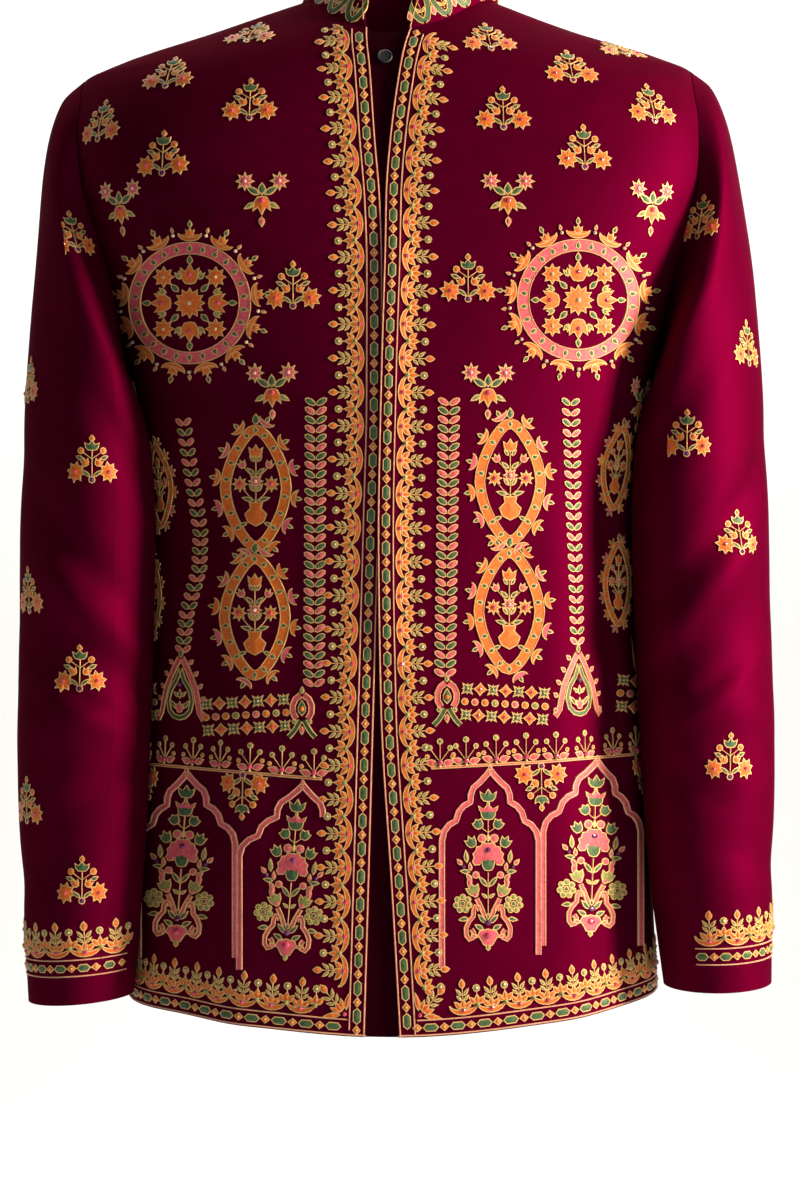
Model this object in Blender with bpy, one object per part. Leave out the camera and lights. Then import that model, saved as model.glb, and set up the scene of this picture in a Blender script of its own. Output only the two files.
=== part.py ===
"""A prince coat as it is worn: two fronts over a button stand, a back, two-piece sleeves and a stand collar.

Metres, +Z up. The front faces -Y and the wearer's left is +X. The origin is the middle of the
neck opening, at the height where the collar meets the shoulder seams.
"""

import math

import bmesh
import bpy
import numpy as np

CLOTH = 0.0020
COLLAR_CLOTH = 0.0024
UNDERLAP_CLOTH = 0.0016
SEAM_GAP = 0.0003
SLEEVE_SEAM_GAP = 0.0006
ARMHOLE_GAP = 0.0006
LAP_GAP = 0.0005

HEM_FRONT = -0.737
HEM_SIDE = -0.723
HEM_BACK = -0.727
NECK_HALF_WIDTH = 0.0720
NECK_FRONT = 0.080
NECK_BACK = 0.070
NECK_LOWEST = -0.100
SHOULDER_TIP = 0.225
SHOULDER_TILT = 0.0040
# Both cuffs swing this far to the wearer's left.
CUFF_SWING = 0.005

# The level sections of the body of the coat: half width, depth of the front and of the back
# from the plane of the side seams, and how square the section is (2 is an ellipse).
FORM_COLUMNS = ("z", "half_width", "front", "back", "square")
FORM = (
    (0.014, 0.034, 0.040, 0.054, 1.9),
    (0.000, 0.0755, 0.054, 0.070, 1.9),
    (-0.022, 0.140, 0.070, 0.092, 1.8),
    (-0.044, 0.207, 0.087, 0.105, 1.9),
    (-0.054, 0.2255, 0.092, 0.109, 2.1),
    (-0.068, 0.2290, 0.097, 0.113, 2.5),
    (-0.100, 0.2315, 0.106, 0.121, 3.1),
    (-0.135, 0.2295, 0.113, 0.126, 3.3),
    (-0.170, 0.2210, 0.118, 0.128, 3.1),
    (-0.218, 0.2060, 0.121, 0.126, 2.8),
    (-0.262, 0.1945, 0.122, 0.122, 2.5),
    (-0.310, 0.1870, 0.121, 0.116, 2.3),
    (-0.360, 0.1815, 0.119, 0.109, 2.2),
    (-0.440, 0.1805, 0.117, 0.103, 2.2),
    (-0.510, 0.1840, 0.118, 0.106, 2.2),
    (-0.620, 0.1895, 0.122, 0.115, 2.25),
    (-0.740, 0.1950, 0.126, 0.121, 2.3),
)

# The lean of the wearer: how far each level is shifted to the wearer's left.
LEAN_COLUMNS = ("z", "across")
LEAN = (
    (0.004, 0.0055),
    (-0.016, 0.0000),
    (-0.055, -0.0045),
    (-0.110, -0.0032),
    (-0.210, 0.0000),
    (-0.800, 0.0000),
)

# Soft upright folds below the chest: where round the body (0 is the wearer's left side, -90 the
# front), the span of heights, the half width in degrees and the depth, inwards when negative.
DRAPES = (
    (-24, -0.290, -0.680, 8, -0.0030),
    (-40, -0.330, -0.730, 7, 0.0020),
    (-150, -0.300, -0.700, 8, -0.0034),
    (-134, -0.340, -0.735, 7, 0.0022),
    (28, -0.300, -0.640, 9, -0.0034),
    (52, -0.280, -0.560, 8, 0.0022),
    (128, -0.290, -0.580, 8, 0.0024),
    (152, -0.310, -0.660, 9, -0.0030),
)
DRAPE_FADE = 0.090

# The two front edges, measured across from the middle of the front.
EDGE_COLUMNS = ("z", "left_front", "right_front")
EDGES = (
    (-0.036, 0.0142, -0.0161),
    (-0.064, 0.0092, -0.0128),
    (-0.113, 0.0011, -0.0106),
    (-0.161, -0.0042, -0.0080),
    (-0.230, -0.0064, -0.0092),
    (-0.368, -0.0069, -0.0104),
    (-0.506, -0.0069, -0.0145),
    (-0.644, -0.0007, -0.0162),
    (-0.737, 0.0048, -0.0193),
)
UNDERLAP_UNDER_RIGHT = 0.010
UNDERLAP_UNDER_LEFT = 0.020

# The armhole seam, an egg round the shoulder joint seen from the side.
ARMHOLE_TOP_Z = -0.0500
ARMHOLE_BOTTOM_Z = -0.2620
ARMHOLE_FRONT = 0.062
ARMHOLE_BACK = 0.066

# The sections down a sleeve: how far along it each lies, its outermost and innermost points,
# and half its depth.
SLEEVE_COLUMNS = (
    "along", "outer_x", "outer_y", "outer_z", "inner_x", "inner_y", "inner_z", "half_depth"
)
SLEEVE = (
    (0.000, 0.2225, 0.002, -0.0500, 0.1945, 0.000, -0.2620, 0.0640),
    (0.030, 0.2375, 0.001, -0.0640, 0.1928, -0.008, -0.2690, 0.0665),
    (0.075, 0.2500, -0.001, -0.1000, 0.1872, -0.019, -0.2830, 0.0690),
    (0.140, 0.2580, -0.004, -0.1550, 0.1770, -0.036, -0.3030, 0.0700),
    (0.220, 0.2645, -0.010, -0.2200, 0.1700, -0.044, -0.3350, 0.0695),
    (0.320, 0.2690, -0.018, -0.3000, 0.1680, -0.046, -0.3800, 0.0670),
    (0.430, 0.2710, -0.026, -0.3850, 0.1700, -0.045, -0.4320, 0.0635),
    (0.540, 0.2718, -0.032, -0.4700, 0.1715, -0.046, -0.4920, 0.0600),
    (0.660, 0.2725, -0.037, -0.5500, 0.1735, -0.046, -0.5550, 0.0565),
    (0.800, 0.2695, -0.043, -0.6300, 0.1780, -0.048, -0.6240, 0.0530),
    (1.000, 0.2660, -0.047, -0.7170, 0.1885, -0.050, -0.7150, 0.0485),
)
CAP_END = 0.20
# How clear of the body the sleeve hangs, how softly it meets it, and how soon below the armhole.
SLEEVE_CLEAR = 0.0020
SLEEVE_SOFT = 0.0060
SLEEVE_CLEAR_FROM = 0.080

# Folds across a sleeve at the elbow and below it: along the sleeve, the angle round it from the
# outer side (90 is the front), how far it slants along the sleeve in CREASE_SLANT_TURN degrees,
# both half widths and the depth, inwards when negative.
CREASES = (
    (0.400, 70, 0.045, 0.030, 48, -0.0030),
    (0.465, 88, 0.035, 0.028, 44, 0.0026),
    (0.530, 96, 0.020, 0.028, 50, -0.0032),
    (0.600, 84, -0.020, 0.032, 48, 0.0022),
    (0.780, 60, -0.030, 0.036, 60, -0.0022),
    (0.505, -100, 0.030, 0.036, 52, 0.0024),
    (0.250, 128, 0.030, 0.036, 40, -0.0028),
)
CREASE_SLANT_TURN = 60
TOP_SLEEVE_SHARE = 0.66

COLLAR_HEIGHT_FRONT = 0.038
COLLAR_HEIGHT_BACK = 0.041
COLLAR_LEAN = 0.0060
# Across from the middle at the foot and at the top of each front end.
COLLAR_END_LEFT = (0.0135, 0.0185)
COLLAR_END_RIGHT = (-0.0170, -0.0270)
COLLAR_CORNER = 0.008

BUTTON_RADIUS = 0.0055
BUTTON_THICKNESS = 0.0022
BUTTON_X = -0.0010
BUTTON_Z = -0.0560
BUTTON_STEPS = 16

SHOULDER_ROWS = 4
ARMHOLE_STEPS = 12
SKIRT_ROWS = 13
FRONT_COLUMNS = 12
UNDERLAP_COLUMNS = 3
SLEEVE_RINGS = 19
CAP_CROWDING = 0.55
# The steps round and along a sleeve over which its outward direction and its seams are measured.
TURN_STEP = 0.080
RING_STEP = 0.010
SEAM_STEP = 0.020
COLLAR_CORNER_STEPS = 3
COLLAR_SEGMENTS = 34
SHARP_ANGLE = 50

MAROON = (0.115, 0.004, 0.022, 1.0)
DARK_MAROON = (0.060, 0.003, 0.014, 1.0)
BUTTON_COLOUR = (0.020, 0.016, 0.030, 1.0)


def column(table, names, name, at):
    """One column of a table at the given heights or lengths: a monotone cubic through its rows."""
    rows = np.array(sorted(table))
    knots, values = rows[:, 0], rows[:, names.index(name)]
    step = np.diff(knots)
    slope = np.diff(values) / step
    tangent = np.concatenate([slope[:1], np.zeros(len(slope) - 1), slope[-1:]])
    for i in range(1, len(slope)):
        before, after = slope[i - 1], slope[i]
        if before * after > 0:
            tangent[i] = 2 * before * after / (before + after)
    at = np.asarray(at, float)
    i = np.clip(np.searchsorted(knots, at) - 1, 0, len(step) - 1)
    t = (at - knots[i]) / step[i]
    rise = values[i + 1] - values[i]
    start, end = tangent[i] * step[i], tangent[i + 1] * step[i]
    return values[i] + t * (start + t * (3 * rise - 2 * start - end + t * (start + end - 2 * rise)))


def bell(distance):
    return np.exp(-(distance**2))


def eased(t):
    t = np.clip(t, 0.0, 1.0)
    return t * t * (3 - 2 * t)


def form(name, z):
    return column(FORM, FORM_COLUMNS, name, z)


def drape(angle, z):
    """How far the soft folds of the body stand out or in, at angles in radians."""
    total = np.zeros(np.broadcast(angle, z).shape)
    for fold_angle, top, bottom, spread, depth in DRAPES:
        turn = (np.degrees(angle) - fold_angle + 180) % 360 - 180
        window = eased((top - z) / DRAPE_FADE) * eased((z - bottom) / DRAPE_FADE + 1)
        total = total + depth * bell(turn / spread) * window
    return total


def form_radius(angle, z):
    """Distance from the upright axis to the outside of the coat."""
    depth = np.where(np.sin(angle) < 0, form("front", z), form("back", z))
    square = form("square", z)
    across = (np.abs(np.cos(angle)) / form("half_width", z)) ** square
    through = (np.abs(np.sin(angle)) / depth) ** square
    return (across + through) ** (-1 / square) + drape(angle, z)


def neck_radius(angle):
    depth = np.where(np.sin(angle) < 0, NECK_FRONT, NECK_BACK)
    return ((np.cos(angle) / NECK_HALF_WIDTH) ** 2 + (np.sin(angle) / depth) ** 2) ** -0.5


def neck_height(angle):
    """Height of the collar seam: where the form is as wide as the neck opening."""
    high = np.full(np.shape(angle), FORM[0][0])
    low = np.full(np.shape(angle), NECK_LOWEST)
    for _ in range(30):
        middle = (high + low) / 2
        inside = form_radius(angle, middle) < neck_radius(angle)
        high = np.where(inside, middle, high)
        low = np.where(inside, low, middle)
    return (high + low) / 2


def hem_height(angle):
    """The hem hangs lowest at the front and highest at the sides."""
    ends = np.where(np.sin(angle) < 0, HEM_FRONT, HEM_BACK)
    return HEM_SIDE + (ends - HEM_SIDE) * np.sin(angle) ** 2


def level_height(angle, level):
    """Height at a share of the way from the collar seam down to the hem."""
    top = neck_height(angle)
    return top + level * (hem_height(angle) - top)


def body_point(angle, level):
    z = level_height(angle, level)
    radius = form_radius(angle, z)
    return np.stack([radius * np.cos(angle), radius * np.sin(angle), z], axis=-1)


def normals(surface, u, v, step):
    """Outward unit normals of surface(u, v), from small steps along both."""
    along_u = surface(u + step, v) - surface(u - step, v)
    along_v = surface(u, v + step) - surface(u, v - step)
    normal = np.cross(along_v, along_u)
    return normal / np.linalg.norm(normal, axis=-1, keepdims=True)


def wall_between(surface, u, v, skin, cloth, outward=1.0):
    """Outer and inner points of a cloth wall whose outer face lies skin inside the surface."""
    points = surface(u, v)
    normal = normals(surface, u, v, 1e-4) * outward
    return points - normal * skin, points - normal * (skin + cloth)


def edge_angle(edge, level):
    """Angle round the body of a front edge, pushed across by a distance."""
    name, across = edge
    angle = np.full(np.shape(level), -math.pi / 2)
    for _ in range(12):
        z = level_height(angle, level)
        x = column(EDGES, EDGE_COLUMNS, name, z) + across
        angle = -np.arccos(np.clip(x / form_radius(angle, z), -1, 1))
    return angle


def body_side(y, z):
    """Half the width of the body at a depth and a height, leaving out its folds."""
    depth = np.where(y < 0, form("front", z), form("back", z))
    square = form("square", z)
    return form("half_width", z) * np.maximum(0, 1 - (np.abs(y) / depth) ** square) ** (1 / square)


def armhole_loop():
    """Points of the left armhole seam from the shoulder tip, round the front and up the back."""
    turn = np.linspace(0, 2 * math.pi, 2 * ARMHOLE_STEPS, endpoint=False)
    middle = (ARMHOLE_TOP_Z + ARMHOLE_BOTTOM_Z) / 2
    z = middle + (ARMHOLE_TOP_Z - ARMHOLE_BOTTOM_Z) / 2 * np.cos(turn)
    y = -np.where(turn < math.pi, ARMHOLE_FRONT, ARMHOLE_BACK) * np.sin(turn)
    return turn, np.stack([body_side(y, z), y, z], axis=-1)


def level_at(angle, z):
    top = neck_height(angle)
    return (top - z) / (top - hem_height(angle))


def side_line(behind):
    """Angles and levels down a panel's outer side: shoulder seam, armhole, then side seam."""
    _, loop = armhole_loop()
    if behind:
        loop = np.roll(loop[::-1], 1, axis=0)
    half = loop[: ARMHOLE_STEPS + 1]
    angle = np.arctan2(half[:, 1], half[:, 0])
    angle[[0, -1]] = 0
    level = level_at(angle, half[:, 2])
    shoulder = np.linspace(0, level[0], SHOULDER_ROWS + 1)[:-1]
    skirt = np.linspace(level[-1], 1, SKIRT_ROWS + 1)[1:]
    angles = np.concatenate([0 * shoulder, angle, 0 * skirt])
    levels = np.concatenate([shoulder, level, skirt])
    gap = SEAM_GAP / 2 / form_radius(angles, level_height(angles, levels))
    on_seam = angles == 0
    return angles + np.where(on_seam, gap if behind else -gap, 0), levels


def mirrored(angle):
    return math.pi - angle


def front_panel(edge, side):
    """Angles and levels over one front, from its edge to its outer side."""
    angle, level = side_line(behind=False)
    if side < 0:
        angle = -math.pi - angle
    share = np.linspace(0, 1, FRONT_COLUMNS + 1)
    start = edge_angle(edge, level)
    angles = start[:, None] + (angle - start)[:, None] * share
    return angles, np.repeat(level[:, None], len(share), axis=1)


def back_panel():
    angle, level = side_line(behind=True)
    share = np.linspace(0, 1, 2 * FRONT_COLUMNS + 1)
    angles = angle[:, None] + (mirrored(angle) - angle)[:, None] * share
    return angles, np.repeat(level[:, None], len(share), axis=1)


def underlap_panel():
    _, level = side_line(behind=False)
    share = np.linspace(0, 1, UNDERLAP_COLUMNS + 1)
    start = edge_angle(("right_front", -UNDERLAP_UNDER_RIGHT), level)
    end = edge_angle(("left_front", UNDERLAP_UNDER_LEFT), level)
    angles = start[:, None] + (end - start)[:, None] * share
    return angles, np.repeat(level[:, None], len(share), axis=1)


def sleeve_form(name, along):
    return column(SLEEVE, SLEEVE_COLUMNS, name, along)


def section_point(turn, along):
    """A point on a plain section of the left sleeve, at an angle from its outer side."""
    outer = np.stack([sleeve_form(f"outer_{axis}", along) for axis in "xyz"], axis=-1)
    inner = np.stack([sleeve_form(f"inner_{axis}", along) for axis in "xyz"], axis=-1)
    points = (outer + inner) / 2 + (outer - inner) / 2 * np.cos(turn)[..., None]
    points[..., 1] -= sleeve_form("half_depth", along) * np.sin(turn)
    return points


def crease(turn, along):
    total = np.zeros(np.broadcast(turn, along).shape)
    for where, angle, slant, spread_along, spread_angle, depth in CREASES:
        off = (np.degrees(turn) - angle + 180) % 360 - 180
        line = where + slant * off / CREASE_SLANT_TURN
        total = total + depth * bell((along - line) / spread_along) * bell(off / spread_angle)
    return total


def clear_of_body(points, along):
    """The sleeve gives way where it would press into the body below the armhole."""
    over = points[..., 0] - body_side(points[..., 1], points[..., 2]) - SLEEVE_CLEAR
    give = (np.sqrt(over**2 + SLEEVE_SOFT**2) - over) / 2
    points[..., 0] += give * eased(along / SLEEVE_CLEAR_FROM)
    return points


def sleeve_point(turn, along, side):
    """A sleeve as if it were the left one: it leaves the armhole and turns down to the cuff."""
    turns, loop = armhole_loop()
    start = section_point(turns, np.zeros(len(turns)))
    turns = np.append(turns, 2 * math.pi)
    offset = np.concatenate([loop - start, (loop - start)[:1]])
    at = np.mod(turn, 2 * math.pi)
    push = np.stack([np.interp(at, turns, offset[:, i]) for i in range(3)], axis=-1)
    fade = eased(1 - along / CAP_END)[..., None]
    points = section_point(turn, along) + push * fade
    middle = section_point(turn + math.pi / 2, along) / 2 + section_point(turn - math.pi / 2, along) / 2
    outwards = points - middle
    outwards = outwards / np.linalg.norm(outwards, axis=-1, keepdims=True)
    points = points + outwards * crease(turn, along)[..., None]
    points[..., 0] += side * CUFF_SWING * along**2
    return clear_of_body(points, along)


def sleeve_piece(top, side):
    """Angles and lengths over the top sleeve or the under sleeve, armhole to cuff."""
    seam = round(TOP_SLEEVE_SHARE * ARMHOLE_STEPS)
    steps = np.arange(-seam, seam + 1) if top else np.arange(seam, 2 * ARMHOLE_STEPS - seam + 1)
    turn = steps * math.pi / ARMHOLE_STEPS
    share = np.linspace(0, 1, SLEEVE_RINGS + 1)
    along = share * (1 - CAP_CROWDING + CAP_CROWDING * share)
    turns = np.repeat(turn[None, :], len(along), axis=0)
    for end, inwards in ((0, 1), (-1, -1)):
        line = turns[:, end]
        down = np.gradient(sleeve_point(line, along, side), axis=0)
        down = down / np.linalg.norm(down, axis=-1, keepdims=True)
        across = sleeve_point(line + SEAM_STEP, along, side) - sleeve_point(line - SEAM_STEP, along, side)
        across = across - np.sum(across * down, axis=-1, keepdims=True) * down
        reach = np.linalg.norm(across, axis=-1) / 2 / SEAM_STEP
        turns[:, end] += inwards * SLEEVE_SEAM_GAP / 2 / reach
    return turns, np.repeat(along[:, None], len(turns[0]), axis=1)


def sleeve_wall(top, side):
    turns, along = sleeve_piece(top, side)
    outer = sleeve_point(turns, along, side) + np.array([ARMHOLE_GAP, 0, 0])
    inside = np.clip(along, RING_STEP, 1 - RING_STEP)
    normal = np.cross(
        sleeve_point(turns + TURN_STEP, inside, side) - sleeve_point(turns - TURN_STEP, inside, side),
        sleeve_point(turns, inside + RING_STEP, side) - sleeve_point(turns, inside - RING_STEP, side),
    )
    normal = normal / np.linalg.norm(normal, axis=-1, keepdims=True)
    return outer, outer - normal * CLOTH


def posed(points, side=1):
    """The hang of the coat on its wearer: mirrored if asked, then tilted and leant a little."""
    points = np.array(points)
    points[..., 0] *= side
    points[..., 0] += column(LEAN, LEAN_COLUMNS, "across", points[..., 2])
    points[..., 2] += SHOULDER_TILT * (points[..., 0] / SHOULDER_TIP) ** 3
    return points


def cloth_material(name, colour, roughness):
    material = bpy.data.materials.new(name)
    material.use_nodes = True
    shader = material.node_tree.nodes["Principled BSDF"]
    shader.inputs["Base Color"].default_value = colour
    shader.inputs["Roughness"].default_value = roughness
    shader.inputs["Metallic"].default_value = 0.0
    return material


def object_from(bm, name, material):
    bmesh.ops.recalc_face_normals(bm, faces=bm.faces)
    mesh = bpy.data.meshes.new(name)
    bm.to_mesh(mesh)
    bm.free()
    mesh.shade_smooth()
    mesh.set_sharp_from_angle(angle=math.radians(SHARP_ANGLE))
    mesh.materials.append(material)
    piece = bpy.data.objects.new(name, mesh)
    bpy.context.scene.collection.objects.link(piece)
    return piece


def make_wall(name, outer, inner, material):
    """A closed wall between an outer and an inner grid of points."""
    bm = bmesh.new()
    sheets = [[[bm.verts.new(point) for point in row] for row in sheet] for sheet in (outer, inner)]
    for sheet in sheets:
        for row, below in zip(sheet, sheet[1:]):
            for i in range(len(row) - 1):
                bm.faces.new((row[i], below[i], below[i + 1], row[i + 1]))
    rims = []
    for sheet in sheets:
        right = [row[-1] for row in sheet]
        left = [row[0] for row in sheet]
        rims.append(sheet[0] + right[1:] + sheet[-1][-2::-1] + left[-2:0:-1])
    count = len(rims[0])
    for i in range(count):
        after = (i + 1) % count
        bm.faces.new((rims[0][i], rims[0][after], rims[1][after], rims[1][i]))
    return object_from(bm, name, material)


def make_body_panels(cloth, plain):
    left = wall_between(body_point, *front_panel(("left_front", 0), 1), 0, CLOTH)
    make_wall("front_left", *map(posed, left), cloth)
    right = wall_between(body_point, *front_panel(("right_front", 0), -1), 0, CLOTH)
    make_wall("front_right", *map(posed, right), cloth)
    back = wall_between(body_point, *back_panel(), 0, CLOTH)
    make_wall("back", *map(posed, back), cloth)
    underlap = wall_between(body_point, *underlap_panel(), CLOTH + LAP_GAP, UNDERLAP_CLOTH)
    make_wall("underlap", *map(posed, underlap), plain)


def make_sleeves(cloth):
    for piece, top in (("top", True), ("under", False)):
        for side, hand in ((1, "left"), (-1, "right")):
            outer, inner = sleeve_wall(top, side)
            make_wall(f"sleeve_{piece}_{hand}", posed(outer, side), posed(inner, side), cloth)


def collar_point(angle, rise):
    """The collar stands on the neck seam and leans in to the neck."""
    base = neck_radius(angle)
    back = (1 + np.sin(angle)) / 2
    height = COLLAR_HEIGHT_FRONT + (COLLAR_HEIGHT_BACK - COLLAR_HEIGHT_FRONT) * back
    radius = base - COLLAR_LEAN * rise
    z = neck_height(angle) + SEAM_GAP + rise * height
    return np.stack([radius * np.cos(angle), radius * np.sin(angle), z], axis=-1)


def make_collar(cloth):
    corner = COLLAR_CORNER / COLLAR_HEIGHT_FRONT
    turn = np.linspace(math.pi / 2, 0, COLLAR_CORNER_STEPS + 1)
    rise = np.append(1 - corner + corner * np.sin(turn), [(1 - corner) / 2, 0])
    share = np.linspace(0, 1, COLLAR_SEGMENTS + 1)
    rows = []
    for up in rise:
        cut = COLLAR_CORNER * (1 - math.sqrt(1 - max(0, up / corner + 1 - 1 / corner) ** 2))
        ends = [low + (high - low) * up for low, high in (COLLAR_END_LEFT, COLLAR_END_RIGHT)]
        start = -math.acos((ends[0] + cut) / NECK_FRONT)
        end = 2 * math.pi - math.acos((ends[1] - cut) / NECK_FRONT)
        rows.append(start + (end - start) * share)
    angles = np.array(rows)
    rises = np.repeat(rise[:, None], len(share), axis=1)
    outer, inner = wall_between(collar_point, angles, rises, 0, COLLAR_CLOTH, outward=-1.0)
    make_wall("collar", posed(outer), posed(inner), cloth)


def make_top_button(material):
    """A small flat button with a turned rim, sewn on the underlap."""
    angle = np.array([-math.acos(BUTTON_X / NECK_FRONT)])
    level = level_at(angle, BUTTON_Z)
    seat, _ = wall_between(body_point, angle, level, CLOTH + LAP_GAP, UNDERLAP_CLOTH)
    normal = normals(body_point, angle, level, 1e-4)[0]
    centre = posed(seat[0] + normal * SEAM_GAP)
    profile = (
        (0.0, 0.0),
        (0.80, 0.0),
        (1.0, 0.35),
        (1.0, 0.75),
        (0.86, 1.0),
        (0.66, 0.74),
        (0.0, 0.66),
    )
    bm = bmesh.new()
    points = [bm.verts.new((r * BUTTON_RADIUS, 0, h * BUTTON_THICKNESS)) for r, h in profile]
    line = [bm.edges.new(pair) for pair in zip(points, points[1:])]
    bmesh.ops.spin(
        bm, geom=line, cent=(0, 0, 0), axis=(0, 0, 1), angle=2 * math.pi, steps=BUTTON_STEPS, use_merge=True
    )
    bmesh.ops.remove_doubles(bm, verts=bm.verts, dist=1e-6)
    side = np.cross((0.0, 0.0, 1.0), normal)
    side = side / np.linalg.norm(side)
    up = np.cross(normal, side)
    for vertex in bm.verts:
        vertex.co = centre + side * vertex.co.x + up * vertex.co.y + normal * vertex.co.z
    object_from(bm, "top_button", material)


def main():
    for old in list(bpy.data.objects):
        bpy.data.objects.remove(old, do_unlink=True)
    cloth = cloth_material("maroon_cloth", MAROON, 0.8)
    plain = cloth_material("plain_cloth", DARK_MAROON, 0.85)
    button = cloth_material("dark_button", BUTTON_COLOUR, 0.3)
    make_body_panels(cloth, plain)
    make_sleeves(cloth)
    make_collar(cloth)
    make_top_button(button)


main()
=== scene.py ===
import math

import bmesh
import bpy
import numpy as np
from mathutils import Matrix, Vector


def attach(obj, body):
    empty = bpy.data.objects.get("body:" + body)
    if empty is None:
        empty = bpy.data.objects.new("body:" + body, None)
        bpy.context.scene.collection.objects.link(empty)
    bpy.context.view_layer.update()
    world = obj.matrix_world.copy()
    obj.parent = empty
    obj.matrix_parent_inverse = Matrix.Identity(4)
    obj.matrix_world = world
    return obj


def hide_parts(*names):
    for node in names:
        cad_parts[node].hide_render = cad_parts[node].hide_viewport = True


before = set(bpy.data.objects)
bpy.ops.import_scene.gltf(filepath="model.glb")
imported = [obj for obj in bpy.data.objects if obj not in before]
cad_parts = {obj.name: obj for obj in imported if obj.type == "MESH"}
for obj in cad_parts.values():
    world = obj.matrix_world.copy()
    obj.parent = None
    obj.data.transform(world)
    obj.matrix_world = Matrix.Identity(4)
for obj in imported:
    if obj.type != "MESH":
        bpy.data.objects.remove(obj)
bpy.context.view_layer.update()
print("frame loaded")

mm = 0.001

# the camera stands where the photograph was taken from
cameraSettings = {"place": (0.005, -1.70, -0.437), "lens": 68.9, "sensor": 36.0}

cameraData = bpy.data.cameras.new("viewCamera")
cameraData.lens = cameraSettings["lens"]
cameraData.sensor_width = cameraSettings["sensor"]
camera = bpy.data.objects.new("viewCamera", cameraData)
camera.location = cameraSettings["place"]
camera.rotation_euler = (math.radians(90), 0, 0)
bpy.context.scene.collection.objects.link(camera)
bpy.context.scene.camera = camera


# materials

def plug(tree, socket, value):
    if isinstance(value, Wire):
        tree.links.new(value.socket, socket)
    else:
        socket.default_value = value


class Wire:
    # a shader output that can stand in sums
    def __init__(self, tree, socket):
        self.tree = tree
        self.socket = socket

    def sum(self, operation, first, second):
        node = self.tree.nodes.new("ShaderNodeMath")
        node.operation = operation
        plug(self.tree, node.inputs[0], first)
        plug(self.tree, node.inputs[1], second)
        return Wire(self.tree, node.outputs[0])

    def __add__(self, other):
        return self.sum("ADD", self, other)

    def __radd__(self, other):
        return self.sum("ADD", other, self)

    def __sub__(self, other):
        return self.sum("SUBTRACT", self, other)

    def __mul__(self, other):
        return self.sum("MULTIPLY", self, other)


class Finish:
    # one material with its Principled shader and a short way to add nodes
    def __init__(self, name, colour, roughness, **fixed):
        self.material = bpy.data.materials.new(name)
        self.material.use_nodes = True
        self.tree = self.material.node_tree
        self.shader = self.tree.nodes["Principled BSDF"]
        self.set("Base Color", (*colour, 1.0))
        self.set("Roughness", roughness)
        for socket, value in fixed.items():
            self.set(socket.replace("_", " "), value)

    def set(self, socket, value):
        plug(self.tree, self.shader.inputs[socket], value)

    def add(self, kind, settings=None, inputs=None, output=0):
        node = self.tree.nodes.new(kind)
        for key, value in (settings or {}).items():
            setattr(node, key, value)
        for key, value in (inputs or {}).items():
            plug(self.tree, node.inputs[key], value)
        return Wire(self.tree, node.outputs[output])

    def noise(self, place, scale, detail=2.0, **more):
        inputs = {"Vector": place, "Scale": scale, "Detail": detail, **more}
        return self.add("ShaderNodeTexNoise", inputs=inputs)

    def ownPlace(self):
        return self.add("ShaderNodeTexCoord", output=3)

    def paint(self, factor, dark, light):
        inputs = {0: factor, 6: (*dark, 1.0), 7: (*light, 1.0)}
        self.set("Base Color", self.add("ShaderNodeMix", {"data_type": "RGBA"}, inputs, output=2))

    def bumped(self, height, strength, distance):
        inputs = {"Height": height, "Strength": strength, "Distance": distance}
        self.set("Normal", self.add("ShaderNodeBump", inputs=inputs))


clothLook = {
    "dark": (0.074, 0.0002, 0.0142),
    "light": (0.158, 0.0003, 0.0297),
    # the plain underlap's two colours are laid far darker than the maroon: painted shade for the gap under
    # the left front's edge
    "plainDarkPaintedShade": (0.030, 0.0010, 0.007),
    "plain": (0.030, 0.0003, 0.0061),
    "edgeGloss": (0.28, 0.003, 0.075, 1.0),
    "roughness": 0.66,
    "gloss": 0.6,
    "edgeShine": 0.015,
    "slubScale": 55.0,
    "broadScale": 7.0,
    "threadScale": 900.0,
}


def clothFinish(name, dark, light):
    look = Finish(name, light, clothLook["roughness"], Metallic=clothLook["gloss"])
    look.set("Specular IOR Level", clothLook["edgeShine"])
    look.set("Specular Tint", clothLook["edgeGloss"])
    cut = look.add("ShaderNodeUVMap", {"uv_map": "cut"})
    slub = look.noise(cut, clothLook["slubScale"], 3.0, Roughness=0.6)
    broad = look.noise(cut, clothLook["broadScale"])
    look.paint(slub * 0.6 + broad * 0.5, dark, light)
    look.set("Roughness", clothLook["roughness"] - 0.12 + slub * 0.22)
    look.bumped(look.noise(cut, clothLook["threadScale"]) + slub * 1.4, 0.20, 0.0004)
    return look.material


maroonCloth = clothFinish("maroonCloth", clothLook["dark"], clothLook["light"])
# the underlap's cloth: the same maroon, darkened as painted shade for the gap between the fronts
plainClothPaintedShade = clothFinish("plainClothPaintedShade", clothLook["plainDarkPaintedShade"], clothLook["plain"])


# silk is laid in fine satin threads, so its sheen breaks up along them
silkLook = {
    "orange": ((0.76, 0.112, 0.010), (1.00, 0.262, 0.024)),
    "green": ((0.024, 0.078, 0.030), (0.100, 0.20, 0.072)),
    "pink": ((0.68, 0.066, 0.105), (1.00, 0.185, 0.225)),
    "paleGreen": ((0.160, 0.180, 0.040), (0.48, 0.46, 0.13)),
    "blush": ((0.82, 0.34, 0.21), (1.00, 0.58, 0.36)),
}
silkGrain = {"shadeScale": 420.0, "threadScale": 1500.0, "sheen": 0.15}


def silkFinish(colour):
    dark, light = silkLook[colour]
    look = Finish(f"{colour}Silk", light, 0.5, Sheen_Weight=silkGrain["sheen"])
    place = look.ownPlace()
    thread = look.noise(place, silkGrain["threadScale"], 1.0)
    look.paint(look.noise(place, silkGrain["shadeScale"]) * 1.7 - 0.35, dark, light)
    look.set("Roughness", 0.36 + thread * 0.25)
    look.bumped(thread, 0.35, 0.0004)
    return look.material


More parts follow.
